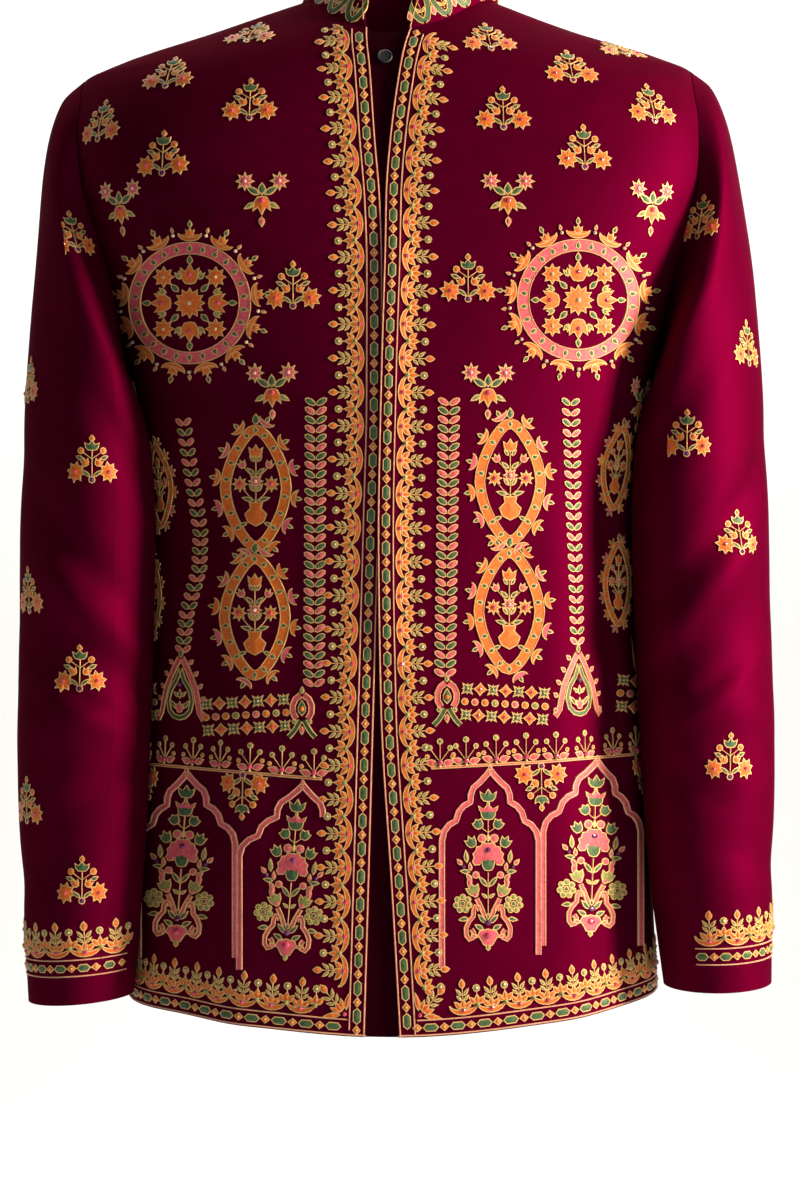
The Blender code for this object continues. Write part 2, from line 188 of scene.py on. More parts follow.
goldLook = {
    "dark": (0.78, 0.45, 0.14),
    "light": (1.00, 0.72, 0.31),
    "roughness": 0.45,
    "metal": 0.05,
    "twistScale": 1100.0,
    "wearScale": 90.0,
}


def goldFinish():
    look = Finish("goldThread", goldLook["light"], goldLook["roughness"], Metallic=goldLook["metal"])
    place = look.ownPlace()
    twist = look.noise(place, goldLook["twistScale"])
    worn = look.noise(place, goldLook["wearScale"])
    look.paint(twist * 1.1 + worn * 0.6 - 0.35, goldLook["dark"], goldLook["light"])
    look.set("Roughness", goldLook["roughness"] - 0.1 + twist * 0.3)
    look.bumped(twist, 0.5, 0.0005)
    return look.material


beadLook = {"pearl": (0.80, 0.60, 0.42), "plum": (0.16, 0.02, 0.14), "rose": (0.70, 0.06, 0.16)}
beadGloss = {"roughness": 0.12, "coat": 0.6, "cloudScale": 300.0}


def beadFinish(colour):
    look = Finish(f"{colour}Bead", beadLook[colour], beadGloss["roughness"], Coat_Weight=beadGloss["coat"])
    cloud = look.noise(look.ownPlace(), beadGloss["cloudScale"])
    look.set("Roughness", beadGloss["roughness"] + cloud * 0.12)
    return look.material


threads = [goldFinish(), *map(silkFinish, silkLook), *map(beadFinish, beadLook)]
gold, orange, green, pink, paleGreen, blush, pearl, plum, rose = range(len(threads))
print("materials made")


# the form of the coat, as its solids have it

coat = {
    "cloth": 0.0020,
    "collarCloth": 0.0024,
    "underlapCloth": 0.0016,
    "seamGap": 0.0001,
    "armholeGap": 0.0006,
    "lapGap": 0.0005,
    "lapLift": 0.0032,
    "lapTop": -0.150,
    "lapLow": -0.500,
    "lapFade": 0.050,
    "lapReach": 0.024,
    "lapSoft": 0.018,
    "hemFront": -0.737,
    "hemSide": -0.723,
    "hemBack": -0.727,
    "neckHalfWidth": 0.0720,
    "neckFront": 0.080,
    "neckBack": 0.070,
    "neckLowest": -0.100,
    "shoulderTip": 0.225,
    "shoulderTilt": 0.0040,
    "cuffSwing": 0.005,
    "foldFade": 0.090,
    "armholeTop": -0.0500,
    "armholeBottom": -0.2620,
    "armholeFront": 0.062,
    "armholeBack": 0.066,
    "capEnd": 0.20,
    "sleeveClear": 0.0010,
    "sleeveSoft": 0.0040,
    "sleeveClearFrom": 0.080,
    "creaseTurn": 60,
    "topSleeveShare": 2 / 3,
    "underlapUnderRight": 0.010,
    "underlapUnderLeft": 0.020,
    "collarHeightFront": 0.038,
    "collarHeightBack": 0.041,
    "collarLean": 0.0060,
    "collarEndLeft": (0.0135, 0.0185),
    "collarEndRight": (-0.0170, -0.0270),
    "collarCorner": 0.008,
}

# height, half width, depth of the front, depth of the back, squareness
formRows = (
    (0.014, 0.034, 0.040, 0.054, 1.9),
    (0.000, 0.0755, 0.054, 0.070, 1.9),
    (-0.022, 0.140, 0.070, 0.092, 1.8),
    (-0.044, 0.207, 0.087, 0.105, 1.9),
    (-0.054, 0.2255, 0.092, 0.109, 2.1),
    (-0.068, 0.2290, 0.097, 0.113, 2.5),
    (-0.100, 0.2315, 0.106, 0.121, 3.1),
    (-0.135, 0.2295, 0.113, 0.126, 3.3),
    (-0.170, 0.2210, 0.118, 0.128, 3.1),
    (-0.218, 0.2060, 0.121, 0.126, 2.8),
    (-0.262, 0.1945, 0.122, 0.122, 2.5),
    (-0.310, 0.1870, 0.121, 0.116, 2.3),
    (-0.360, 0.1815, 0.119, 0.109, 2.2),
    (-0.440, 0.1805, 0.117, 0.103, 2.2),
    (-0.510, 0.1840, 0.118, 0.106, 2.2),
    (-0.620, 0.1895, 0.122, 0.115, 2.25),
    (-0.740, 0.1950, 0.126, 0.121, 2.3),
)
formHalfWidth, formFront, formBack, formSquare = 1, 2, 3, 4

# height and how far the coat leans to the wearer's left there
leanRows = (
    (0.004, 0.0055),
    (-0.016, 0.0000),
    (-0.055, -0.0045),
    (-0.110, -0.0032),
    (-0.210, 0.0000),
    (-0.800, 0.0000),
)

# upright folds: angle round the body, top, bottom, half width in degrees, depth
bodyFolds = (
    (-24, -0.290, -0.680, 8, -0.0044),
    (-40, -0.330, -0.730, 7, 0.0030),
    (-150, -0.300, -0.700, 8, -0.0044),
    (-134, -0.340, -0.735, 7, 0.0030),
    (28, -0.300, -0.640, 9, -0.0034),
    (52, -0.280, -0.560, 8, 0.0022),
    (128, -0.290, -0.580, 8, 0.0024),
    (152, -0.310, -0.660, 9, -0.0030),
)

# height, left front edge, right front edge, across from the middle
edgeRows = (
    (-0.036, 0.0136, -0.0145),
    (-0.064, 0.0085, -0.0108),
    (-0.113, 0.0007, -0.0088),
    (-0.161, -0.0046, -0.0068),
    (-0.230, -0.0074, -0.0064),
    (-0.300, -0.0094, -0.0066),
    (-0.390, -0.0110, -0.0090),
    (-0.506, -0.0094, -0.0122),
    (-0.644, -0.0012, -0.0160),
    (-0.737, 0.0041, -0.0187),
)
leftEdge, rightEdge = 1, 2

# along the sleeve, its outermost point, its innermost point, half its depth
sleeveRows = (
    (0.000, 0.2225, 0.002, -0.0500, 0.1945, 0.000, -0.2620, 0.0640),
    (0.030, 0.2375, 0.001, -0.0640, 0.1924, -0.013, -0.2690, 0.0665),
    (0.075, 0.2500, -0.001, -0.1000, 0.1850, -0.034, -0.2830, 0.0690),
    (0.140, 0.2580, -0.004, -0.1550, 0.1765, -0.045, -0.3030, 0.0700),
    (0.220, 0.2645, -0.010, -0.2200, 0.1700, -0.044, -0.3350, 0.0695),
    (0.320, 0.2690, -0.018, -0.3000, 0.1680, -0.046, -0.3800, 0.0670),
    (0.430, 0.2710, -0.026, -0.3850, 0.1700, -0.045, -0.4320, 0.0635),
    (0.540, 0.2718, -0.032, -0.4700, 0.1715, -0.046, -0.4920, 0.0600),
    (0.660, 0.2725, -0.037, -0.5500, 0.1735, -0.046, -0.5550, 0.0565),
    (0.800, 0.2695, -0.043, -0.6300, 0.1780, -0.048, -0.6240, 0.0530),
    (1.000, 0.2660, -0.047, -0.7170, 0.1885, -0.050, -0.7150, 0.0485),
)
sleeveOuter, sleeveInner, sleeveDepth = (1, 2, 3), (4, 5, 6), 7

# along the sleeve, angle round it, slant, half widths along and round, depth
sleeveCreases = (
    (0.400, 70, 0.045, 0.026, 50, -0.0048),
    (0.465, 88, 0.035, 0.024, 46, 0.0044),
    (0.530, 96, 0.020, 0.026, 54, -0.0054),
    (0.600, 84, -0.020, 0.028, 50, 0.0040),
    (0.690, 110, -0.045, 0.026, 44, -0.0038),
    (0.508, 98, 0.026, 0.012, 30, -0.0026),
    (0.562, 84, 0.040, 0.012, 34, -0.0030),
    (0.586, 86, 0.040, 0.012, 34, 0.0020),
    (0.780, 60, -0.030, 0.036, 60, -0.0030),
    (0.505, -100, 0.030, 0.036, 52, 0.0024),
    (0.250, 128, 0.030, 0.036, 40, -0.0028),
)

# how finely the cloth is laid out
fineness = {
    "shoulderRows": 10,
    "armholeSteps": 48,
    "skirtRows": 76,
    "frontColumns": 56,
    "underlapColumns": 8,
    "sleeveRings": 112,
    "capCrowding": 0.45,
    "cornerRows": 6,
    "collarRows": 8,
    "collarColumns": 150,
    "nudge": 1e-4,
    "neckHalvings": 26,
    "edgeRounds": 12,
}


def along(rows, column, at):
    # a smooth line through one column of a table, which never overshoots its rows
    rows = np.array(sorted(rows))
    knots, values = rows[:, 0], rows[:, column]
    step = np.diff(knots)
    slope = np.diff(values) / step
    tangent = np.concatenate([slope[:1], np.zeros(len(slope) - 1), slope[-1:]])
    for i in range(1, len(slope)):
        before, after = slope[i - 1], slope[i]
        if before * after > 0:
            tangent[i] = 2 * before * after / (before + after)
    at = np.asarray(at, float)
    i = np.clip(np.searchsorted(knots, at) - 1, 0, len(step) - 1)
    t = (at - knots[i]) / step[i]
    rise = values[i + 1] - values[i]
    start, end = tangent[i] * step[i], tangent[i + 1] * step[i]
    return values[i] + t * (start + t * (3 * rise - 2 * start - end + t * (start + end - 2 * rise)))


def bell(distance):
    return np.exp(-(distance**2))


def eased(t):
    t = np.clip(t, 0.0, 1.0)
    return t * t * (3 - 2 * t)


def unit(vectors):
    return vectors / np.linalg.norm(vectors, axis=-1, keepdims=True)


def degreesFrom(angle, centre):
    return (np.degrees(angle) - centre + 180) % 360 - 180


def formDepth(y, z):
    return np.where(y < 0, along(formRows, formFront, z), along(formRows, formBack, z))


def foldDepth(angle, z):
    total = np.zeros(np.broadcast(angle, z).shape)
    for centre, top, bottom, spread, depth in bodyFolds:
        window = eased((top - z) / coat["foldFade"]) * eased((z - bottom) / coat["foldFade"] + 1)
        total = total + depth * bell(degreesFrom(angle, centre) / spread) * window
    return total


def formRadius(angle, z):
    depth = formDepth(np.sin(angle), z)
    square = along(formRows, formSquare, z)
    across = (np.abs(np.cos(angle)) / along(formRows, formHalfWidth, z)) ** square
    through = (np.abs(np.sin(angle)) / depth) ** square
    return (across + through) ** (-1 / square) + foldDepth(angle, z)


def neckRadius(angle):
    depth = np.where(np.sin(angle) < 0, coat["neckFront"], coat["neckBack"])
    return ((np.cos(angle) / coat["neckHalfWidth"]) ** 2 + (np.sin(angle) / depth) ** 2) ** -0.5


def neckHeight(angle):
    high = np.full(np.shape(angle), formRows[0][0])
    low = np.full(np.shape(angle), coat["neckLowest"])
    for _ in range(fineness["neckHalvings"]):
        middle = (high + low) / 2
        inside = formRadius(angle, middle) < neckRadius(angle)
        high = np.where(inside, middle, high)
        low = np.where(inside, low, middle)
    return (high + low) / 2


def hemHeight(angle):
    ends = np.where(np.sin(angle) < 0, coat["hemFront"], coat["hemBack"])
    return coat["hemSide"] + (ends - coat["hemSide"]) * np.sin(angle) ** 2


def levelHeight(angle, level):
    top = neckHeight(angle)
    return top + level * (hemHeight(angle) - top)


def levelAt(angle, z):
    top = neckHeight(angle)
    return (top - z) / (top - hemHeight(angle))


def bodyPoint(angle, level):
    z = levelHeight(angle, level)
    radius = formRadius(angle, z)
    return np.stack([radius * np.cos(angle), radius * np.sin(angle), z], axis=-1)


def edgeAngle(edge, across, level):
    angle = np.full(np.shape(level), -math.pi / 2)
    for _ in range(fineness["edgeRounds"]):
        z = levelHeight(angle, level)
        x = along(edgeRows, edge, z) + across
        angle = -np.arccos(np.clip(x / formRadius(angle, z), -1, 1))
    return angle


def bodySide(y, z):
    square = along(formRows, formSquare, z)
    inside = np.maximum(0, 1 - (np.abs(y) / formDepth(y, z)) ** square)
    return along(formRows, formHalfWidth, z) * inside ** (1 / square)


def armholeLoop():
    turn = np.linspace(0, 2 * math.pi, 2 * fineness["armholeSteps"], endpoint=False)
    middle = (coat["armholeTop"] + coat["armholeBottom"]) / 2
    z = middle + (coat["armholeTop"] - coat["armholeBottom"]) / 2 * np.cos(turn)
    y = -np.where(turn < math.pi, coat["armholeFront"], coat["armholeBack"]) * np.sin(turn)
    return turn, np.stack([bodySide(y, z), y, z], axis=-1)


def sideLine(behind):
    steps = fineness["armholeSteps"]
    _, loop = armholeLoop()
    if behind:
        loop = np.roll(loop[::-1], 1, axis=0)
    half = loop[: steps + 1]
    angle = np.arctan2(half[:, 1], half[:, 0])
    angle[[0, -1]] = 0
    level = levelAt(angle, half[:, 2])
    shoulder = np.linspace(0, level[0], fineness["shoulderRows"] + 1)[:-1]
    skirt = np.linspace(level[-1], 1, fineness["skirtRows"] + 1)[1:]
    angles = np.concatenate([0 * shoulder, angle, 0 * skirt])
    levels = np.concatenate([shoulder, level, skirt])
    gap = coat["seamGap"] / 2 / formRadius(angles, levelHeight(angles, levels))
    return angles + np.where(angles == 0, gap if behind else -gap, 0), levels


def spread(start, end, levels, columns):
    share = np.linspace(0, 1, columns + 1)
    angles = start[:, None] + (end - start)[:, None] * share
    return angles, np.repeat(levels[:, None], columns + 1, axis=1)


def frontGrid(edge, side):
    angle, levels = sideLine(behind=False)
    if side < 0:
        angle = -math.pi - angle
    points = bodyPoint(*spread(edgeAngle(edge, 0, levels), angle, levels, fineness["frontColumns"]))
    if edge == leftEdge:
        # its edge lies a little over the other front at the waist
        inFrom = np.linalg.norm(points - points[:, :1], axis=-1)
        above, below = coat["lapTop"] - points[..., 2], points[..., 2] - coat["lapLow"]
        level = eased(above / coat["lapFade"]) * eased(below / coat["lapFade"])
        points[..., 1] -= coat["lapLift"] * level * eased((coat["lapReach"] - inFrom) / coat["lapSoft"])
    return posed(points)


def backGrid():
    angle, levels = sideLine(behind=True)
    return posed(bodyPoint(*spread(angle, math.pi - angle, levels, 2 * fineness["frontColumns"])))


def underlapGrid():
    _, levels = sideLine(behind=False)
    start = edgeAngle(rightEdge, -coat["underlapUnderRight"], levels)
    end = edgeAngle(leftEdge, coat["underlapUnderLeft"], levels)
    angles, levels = spread(start, end, levels, fineness["underlapColumns"])
    nudge = fineness["nudge"]
    out = np.cross(
        bodyPoint(angles, levels + nudge) - bodyPoint(angles, levels - nudge),
        bodyPoint(angles + nudge, levels) - bodyPoint(angles - nudge, levels),
    )
    return posed(bodyPoint(angles, levels) - unit(out) * (coat["cloth"] + coat["lapGap"]))


def sleeveSection(turn, share):
    outer = np.stack([along(sleeveRows, column, share) for column in sleeveOuter], axis=-1)
    inner = np.stack([along(sleeveRows, column, share) for column in sleeveInner], axis=-1)
    points = (outer + inner) / 2 + (outer - inner) / 2 * np.cos(turn)[..., None]
    points[..., 1] -= along(sleeveRows, sleeveDepth, share) * np.sin(turn)
    return points


def creaseDepth(turn, share):
    total = np.zeros(np.broadcast(turn, share).shape)
    for where, angle, slant, spreadAlong, spreadAngle, depth in sleeveCreases:
        off = degreesFrom(turn, angle)
        line = where + slant * off / coat["creaseTurn"]
        total = total + depth * bell((share - line) / spreadAlong) * bell(off / spreadAngle)
    return total


def sleevePoint(turn, share, side):
    turns, loop = armholeLoop()
    start = sleeveSection(turns, np.zeros(len(turns)))
    turns = np.append(turns, 2 * math.pi)
    offset = np.concatenate([loop - start, (loop - start)[:1]])
    at = np.mod(turn, 2 * math.pi)
    push = np.stack([np.interp(at, turns, offset[:, i]) for i in range(3)], axis=-1)
    points = sleeveSection(turn, share) + push * eased(1 - share / coat["capEnd"])[..., None]
    middle = (sleeveSection(turn + math.pi / 2, share) + sleeveSection(turn - math.pi / 2, share)) / 2
    points = points + unit(points - middle) * creaseDepth(turn, share)[..., None]
    points[..., 0] += side * coat["cuffSwing"] * share**2
    over = points[..., 0] - bodySide(points[..., 1], points[..., 2]) - coat["sleeveClear"]
    give = (np.sqrt(over**2 + coat["sleeveSoft"] ** 2) - over) / 2
    points[..., 0] += give * eased(share / coat["sleeveClearFrom"])
    return points


def sleeveGrid(top, side):
    steps = fineness["armholeSteps"]
    seam = round(coat["topSleeveShare"] * steps)
    stepsRound = np.arange(-seam, seam + 1) if top else np.arange(seam, 2 * steps - seam + 1)
    share = np.linspace(0, 1, fineness["sleeveRings"] + 1)
    share = share * (1 - fineness["capCrowding"] + fineness["capCrowding"] * share)
    turns = np.repeat((stepsRound * math.pi / steps)[None, :], len(share), axis=0)
    gap = coat["seamGap"] / 2 / along(sleeveRows, sleeveDepth, share)
    turns[:, 0] += gap
    turns[:, -1] -= gap
    points = sleevePoint(turns, np.repeat(share[:, None], turns.shape[1], axis=1), side)
    points[..., 0] += coat["armholeGap"]
    return posed(points, side)


def collarPoint(angle, rise):
    back = (1 + np.sin(angle)) / 2
    height = coat["collarHeightFront"] + (coat["collarHeightBack"] - coat["collarHeightFront"]) * back
    radius = neckRadius(angle) - coat["collarLean"] * rise
    z = neckHeight(angle) + coat["seamGap"] + rise * height
    return np.stack([radius * np.cos(angle), radius * np.sin(angle), z], axis=-1)


def collarGrid():
    corner = coat["collarCorner"] / coat["collarHeightFront"]
    rise = 1 - corner + corner * np.sin(np.linspace(math.pi / 2, 0, fineness["cornerRows"]))
    rise = np.append(rise, np.linspace(1 - corner, 0, fineness["collarRows"])[1:])
    share = np.linspace(0, 1, fineness["collarColumns"] + 1)
    rows = []
    for up in rise:
        rounding = 1 - math.sqrt(1 - max(0, up / corner + 1 - 1 / corner) ** 2)
        cut = coat["collarCorner"] * rounding
        ends = (coat["collarEndLeft"], coat["collarEndRight"])
        left, right = (low + (high - low) * up for low, high in ends)
        start = -math.acos((left + cut) / coat["neckFront"])
        end = 2 * math.pi - math.acos((right - cut) / coat["neckFront"])
        rows.append(start + (end - start) * share)
    return posed(collarPoint(np.array(rows), np.repeat(rise[:, None], len(share), axis=1)))


def posed(points, side=1):
    points = np.array(points)
    points[..., 0] *= side
    points[..., 0] += along(leanRows, 1, points[..., 2])
    points[..., 2] += coat["shoulderTilt"] * (points[..., 0] / coat["shoulderTip"]) ** 3
    return points


# one piece of cloth as rows and columns of points, which carries its own embroidery

search = {
    "boardDepth": 0.12,
    "rounds": 7,
    "reach": 6,
    "firstRounds": 4,
    "firstReach": 2,
    "nearRounds": 6,
    "hidden": 9,
    "smallest": 1e-9,
}


def onto(points, eye):
    # where points are seen on a board just in front of the coat, as across and height
    reach = (math.copysign(search["boardDepth"], eye[1]) - eye[1]) / (points[..., 1] - eye[1])
    return np.stack([eye[axis] + (points[..., axis] - eye[axis]) * reach for axis in (0, 2)], -1)


class Panel:
    def __init__(self, name, points, inside):
        self.name = name
        self.points = points
        self.rows, self.columns = points.shape[:2]
        down = np.gradient(points, axis=0)
        across = np.gradient(points, axis=1)
        self.normals = unit(np.cross(down, across))
        middle = (self.rows // 2, self.columns // 2)
        self.turned = np.dot(self.normals[middle], points[middle] - np.array(inside)) < 0
        if self.turned:
            self.normals = -self.normals

    def mixAt(self, values, u, v):
        u, v = np.asarray(u, float), np.asarray(v, float)
        column = np.clip(u.astype(int), 0, self.columns - 2)
        row = np.clip(v.astype(int), 0, self.rows - 2)
        a, b = (u - column)[..., None], (v - row)[..., None]
        upper = values[row, column] * (1 - a) + values[row, column + 1] * a
        lower = values[row + 1, column] * (1 - a) + values[row + 1, column + 1] * a
        return upper * (1 - b) + lower * b

    def tangents(self, u, v):
        # directions per column and per row, and the outward normal
        u = np.clip(np.asarray(u, float), 1, self.columns - 2)
        v = np.clip(np.asarray(v, float), 1, self.rows - 2)
        across = (self.mixAt(self.points, u + 1, v) - self.mixAt(self.points, u - 1, v)) / 2
        down = (self.mixAt(self.points, u, v + 1) - self.mixAt(self.points, u, v - 1)) / 2
        return across, down, unit(self.mixAt(self.normals, u, v))

    def board(self, u, v, eye):
        return onto(self.mixAt(self.points, u, v), eye)

    def carriedBack(self, x, z, u, v, eye, rounds=search["rounds"], reach=search["reach"], beyond=0):
        # column and row of the cloth seen at each board point, sought from a place nearby
        u, v = np.full(len(x), float(u)), np.full(len(x), float(v))
        for _ in range(rounds):
            offX, offZ = (np.stack([x, z], -1) - self.board(u, v, eye)).T
            ux, uz = (self.board(u + 0.5, v, eye) - self.board(u - 0.5, v, eye)).T
            vx, vz = (self.board(u, v + 0.5, eye) - self.board(u, v - 0.5, eye)).T
            det = ux * vz - uz * vx
            det = np.where(np.abs(det) < search["smallest"], math.inf, det)
            du, dv = (offX * vz - offZ * vx) / det, (ux * offZ - uz * offX) / det
            u, v = self.stepped(u, v, du, dv, reach, beyond)
        return u, v

    def stepped(self, u, v, du, dv, reach, beyond):
        # a short step on, which ends at most so far beyond the cloth
        u, v = u + np.clip(du, -reach, reach), v + np.clip(dv, -reach, reach)
        return np.clip(u, -beyond, self.columns - 1 + beyond), np.clip(v, -beyond, self.rows - 1 + beyond)

    def seenAt(self, x, z, eye):
        # column and row of the cloth that shows at a place on the board
        facing = ((np.array(eye) - self.points) * self.normals).sum(axis=-1) > 0
        off = np.linalg.norm(onto(self.points, eye) - (x, z), axis=-1)
        off += np.where(facing, 0, search["hidden"])
        v, u = np.unravel_index(np.argmin(off), off.shape)
        place = np.array([x]), np.array([z])
        at = self.carriedBack(*place, u, v, eye, search["firstRounds"], search["firstReach"], math.inf)
        return float(at[0][0]), float(at[1][0])

    def nearest(self, targets, u, v):
        # column and row of the cloth closest to each target, sought from a place nearby
        for _ in range(search["nearRounds"]):
            across, down, _ = self.tangents(u, v)
            off = targets - self.mixAt(self.points, u, v)
            pairs = ((across, across), (across, down), (down, down), (off, across), (off, down))
            a, b, c, e, f = ((first * second).sum(-1) for first, second in pairs)
            det = a * c - b * b
            u, v = self.stepped(u, v, (c * e - b * f) / det, (a * f - b * e) / det, search["reach"], 1)
        return u, v


def clothPiece(panel, material, thickness, solid):
    bm = bmesh.new()
    bmesh.ops.create_grid(bm, x_segments=panel.columns - 1, y_segments=panel.rows - 1, size=0.5)
    cutLayer = bm.loops.layers.uv.new("cut")
    across = np.linalg.norm(np.diff(panel.points, axis=1), axis=-1).mean(axis=0)
    down = np.linalg.norm(np.diff(panel.points, axis=0), axis=-1).mean(axis=1)
    acrossAt = np.concatenate([[0], np.cumsum(across)])
    downAt = np.concatenate([[0], np.cumsum(down)])
    places = {}
    for vertex in bm.verts:
        column = round((vertex.co.x + 0.5) * (panel.columns - 1))
        row = round((0.5 - vertex.co.y) * (panel.rows - 1))
        places[vertex] = (acrossAt[column], downAt[row])
        vertex.co = panel.points[row, column]
    for face in bm.faces:
        face.smooth = True
        for loop in face.loops:
            loop[cutLayer].uv = places[loop.vert]
    if panel.turned:
        bmesh.ops.reverse_faces(bm, faces=bm.faces)
    for edge in bm.edges:
        edge.smooth = not edge.is_boundary
    mesh = bpy.data.meshes.new(panel.name)
    bm.to_mesh(mesh)
    bm.free()
    mesh.materials.append(material)
    cloth = bpy.data.objects.new(panel.name, mesh)
    bpy.context.scene.collection.objects.link(cloth)
    wall = cloth.modifiers.new("wall", "SOLIDIFY")
    wall.thickness = thickness
    wall.offset = -1
    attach(cloth, "root")
    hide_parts(solid)
    return cloth


bodyInside, collarInside = (0.0, 0.0, -0.40), (0.0, 0.0, 0.02)
armInside = {1: (0.222, -0.03, -0.40), -1: (-0.222, -0.03, -0.40)}

panels = {
    "frontLeft": Panel("coatFrontLeft", frontGrid(leftEdge, 1), bodyInside),
    "frontRight": Panel("coatFrontRight", frontGrid(rightEdge, -1), bodyInside),
    "back": Panel("coatBack", backGrid(), bodyInside),
    "underlap": Panel("coatUnderlap", underlapGrid(), bodyInside),
    "collar": Panel("coatCollar", collarGrid(), collarInside),
}
for hand, side in (("Left", 1), ("Right", -1)):
    for part in ("top", "under"):
        name = f"sleeve{part.title()}{hand}"
        panels[f"{part}{hand}"] = Panel(name, sleeveGrid(part == "top", side), armInside[side])
print("coat form laid out")

# the solid that each piece stands for, and the cut that it comes from
clothFacts = {
    "frontLeft": {"solid": "front_left", "flat": (0.36, 0.76), "area": 0.20},
    "frontRight": {"solid": "front_right", "flat": (0.36, 0.76), "area": 0.19},
    "back": {"solid": "back", "flat": (0.60, 0.78), "area": 0.39},
    "underlap": {"solid": "underlap", "flat": (0.045, 0.70), "wall": "underlapCloth", "plain": True},
    "collar": {"solid": "collar", "flat": (0.43, 0.045), "wall": "collarCloth"},
    "topLeft": {"solid": "sleeve_top_left", "flat": (0.30, 0.68), "area": 0.15},
    "topRight": {"solid": "sleeve_top_right", "flat": (0.30, 0.68), "area": 0.15},
    "underLeft": {"solid": "sleeve_under_left", "flat": (0.16, 0.52), "area": 0.06},
    "underRight": {"solid": "sleeve_under_right", "flat": (0.16, 0.52), "area": 0.06},
}

for key, facts in clothFacts.items():
    material, slot = (plainClothPaintedShade, "plain_cloth") if facts.get("plain") else (maroonCloth, "maroon_cloth")
    clothPiece(panels[key], material, coat[facts.get("wall", "cloth")], facts["solid"])

# the button at the neck keeps its solid and gets a dark, slightly worn gloss
buttonLook = {"dark": (0.007, 0.007, 0.012), "light": (0.026, 0.028, 0.038), "roughness": 0.35}
buttonFinish = Finish("darkButton", buttonLook["light"], buttonLook["roughness"])
swirl = buttonFinish.noise(buttonFinish.ownPlace(), 260.0, Distortion=1.6)
buttonFinish.paint(swirl, buttonLook["dark"], buttonLook["light"])
buttonFinish.set("Roughness", buttonLook["roughness"] - 0.03 + swirl * 0.25)
button = bpy.data.objects["top_button"]
button.data.materials.clear()
button.data.materials.append(buttonFinish.material)


# embroidery: padded patches of silk inside a couched gold line, drawn flat in millimetres

stitch = {
    "rise": 0.75,
    "sunk": 0.55,
    "rim": 0.62,
    "dome": 0.45,
    "cordWidth": 1.2,
    "cordRise": 0.85,
    "cordTop": 0.45,
    "flatRise": 0.55,
    "flatTop": 0.9,
    "flatEdge": 1.05,
    "finest": 5.0,
    "beadTall": 0.8,
    "beadRise": 0.25,
    "edgeStep": 0.006,
}


def leafLine(length, width, bend=0.0, fullest=0.8, steps=4):
    # a pointed leaf from its foot at the origin, its tip swung sideways by bend
    shares = [step / steps for step in range(1, steps)]
    sides = [(bend * t * t, length * t, width / 2 * math.sin(math.pi * t**fullest)) for t in shares]
    right = [(x + half, y) for x, y, half in sides]
    left = [(x - half, y) for x, y, half in reversed(sides)]
    return [(0.0, 0.0), *right, (bend, length), *left]


def flowerLine(radius, petals, notch=0.55):
    turns = [math.pi * step / petals for step in range(2 * petals)]
    return [(r * math.sin(-a), r * math.cos(a)) for a, r in zip(turns, (radius, radius * notch) * petals)]


def bothSides(half):
    # a closed outline from its right half, which starts and may end on the middle line
    return [*half, *[(-x, y) for x, y in reversed(half) if x > 0]]


def budLine(width, height, valley=0.60):
    # a bud of three petals standing on its foot
    half = [(0.0, 0.0), (0.28, 0.05), (0.45, 0.30), (0.52, 0.80), (0.23, valley), (0.0, 1.0)]
    return bothSides([(width * x, height * y) for x, y in half])


def crescentLine(width, depth, thick, steps=8):
    # horns up, belly at the origin
    turns = [math.pi * (1 + step / steps) for step in range(steps + 1)]
    outer = [(width / 2 * math.cos(a), depth * (1 + math.sin(a))) for a in turns]
    inner = [(width * 0.44 * math.cos(a), thick + (depth - thick) * (1 + math.sin(a))) for a in turns]
    return outer + inner[::-1]


def ringLine(radius, steps, tall=1.0):
    turns = [2 * math.pi * step / steps for step in range(steps)]
    return [(radius * math.cos(a), radius * tall * math.sin(a)) for a in turns]


def around(radius, turn):
    return -radius * math.sin(math.radians(turn)), radius * math.cos(math.radians(turn))


def placed(outline, x, y, turn=0.0):
    c, s = math.cos(math.radians(turn)), math.sin(math.radians(turn))
    return [(x + px * c - py * s, y + px * s + py * c) for px, py in outline]


def aheadAt(line, i, closed=False):
    # the direction of a line at one of its points
    before = line[i - 1] if i else line[-2 if closed else 0]
    after = line[i + 1] if i < len(line) - 1 else line[1 if closed else -1]
    return Vector((after[0] - before[0], after[1] - before[1])).normalized()


def offsetLine(line, off):
    # the same line moved to its left
    aheads = [aheadAt(line, i) for i in range(len(line))]
    return [(x - ahead.y * off, y + ahead.x * off) for (x, y), ahead in zip(line, aheads)]


def finer(line, step):
    # extra points on the long stretches of a line, so that it can bend with the cloth
    fine = [line[0]]
    for (ax, ay), (bx, by) in zip(line, line[1:]):
        count = max(1, math.ceil(math.hypot(bx - ax, by - ay) / step))
        fine += [(ax + (bx - ax) * i / count, ay + (by - ay) * i / count) for i in range(1, count + 1)]
    return fine


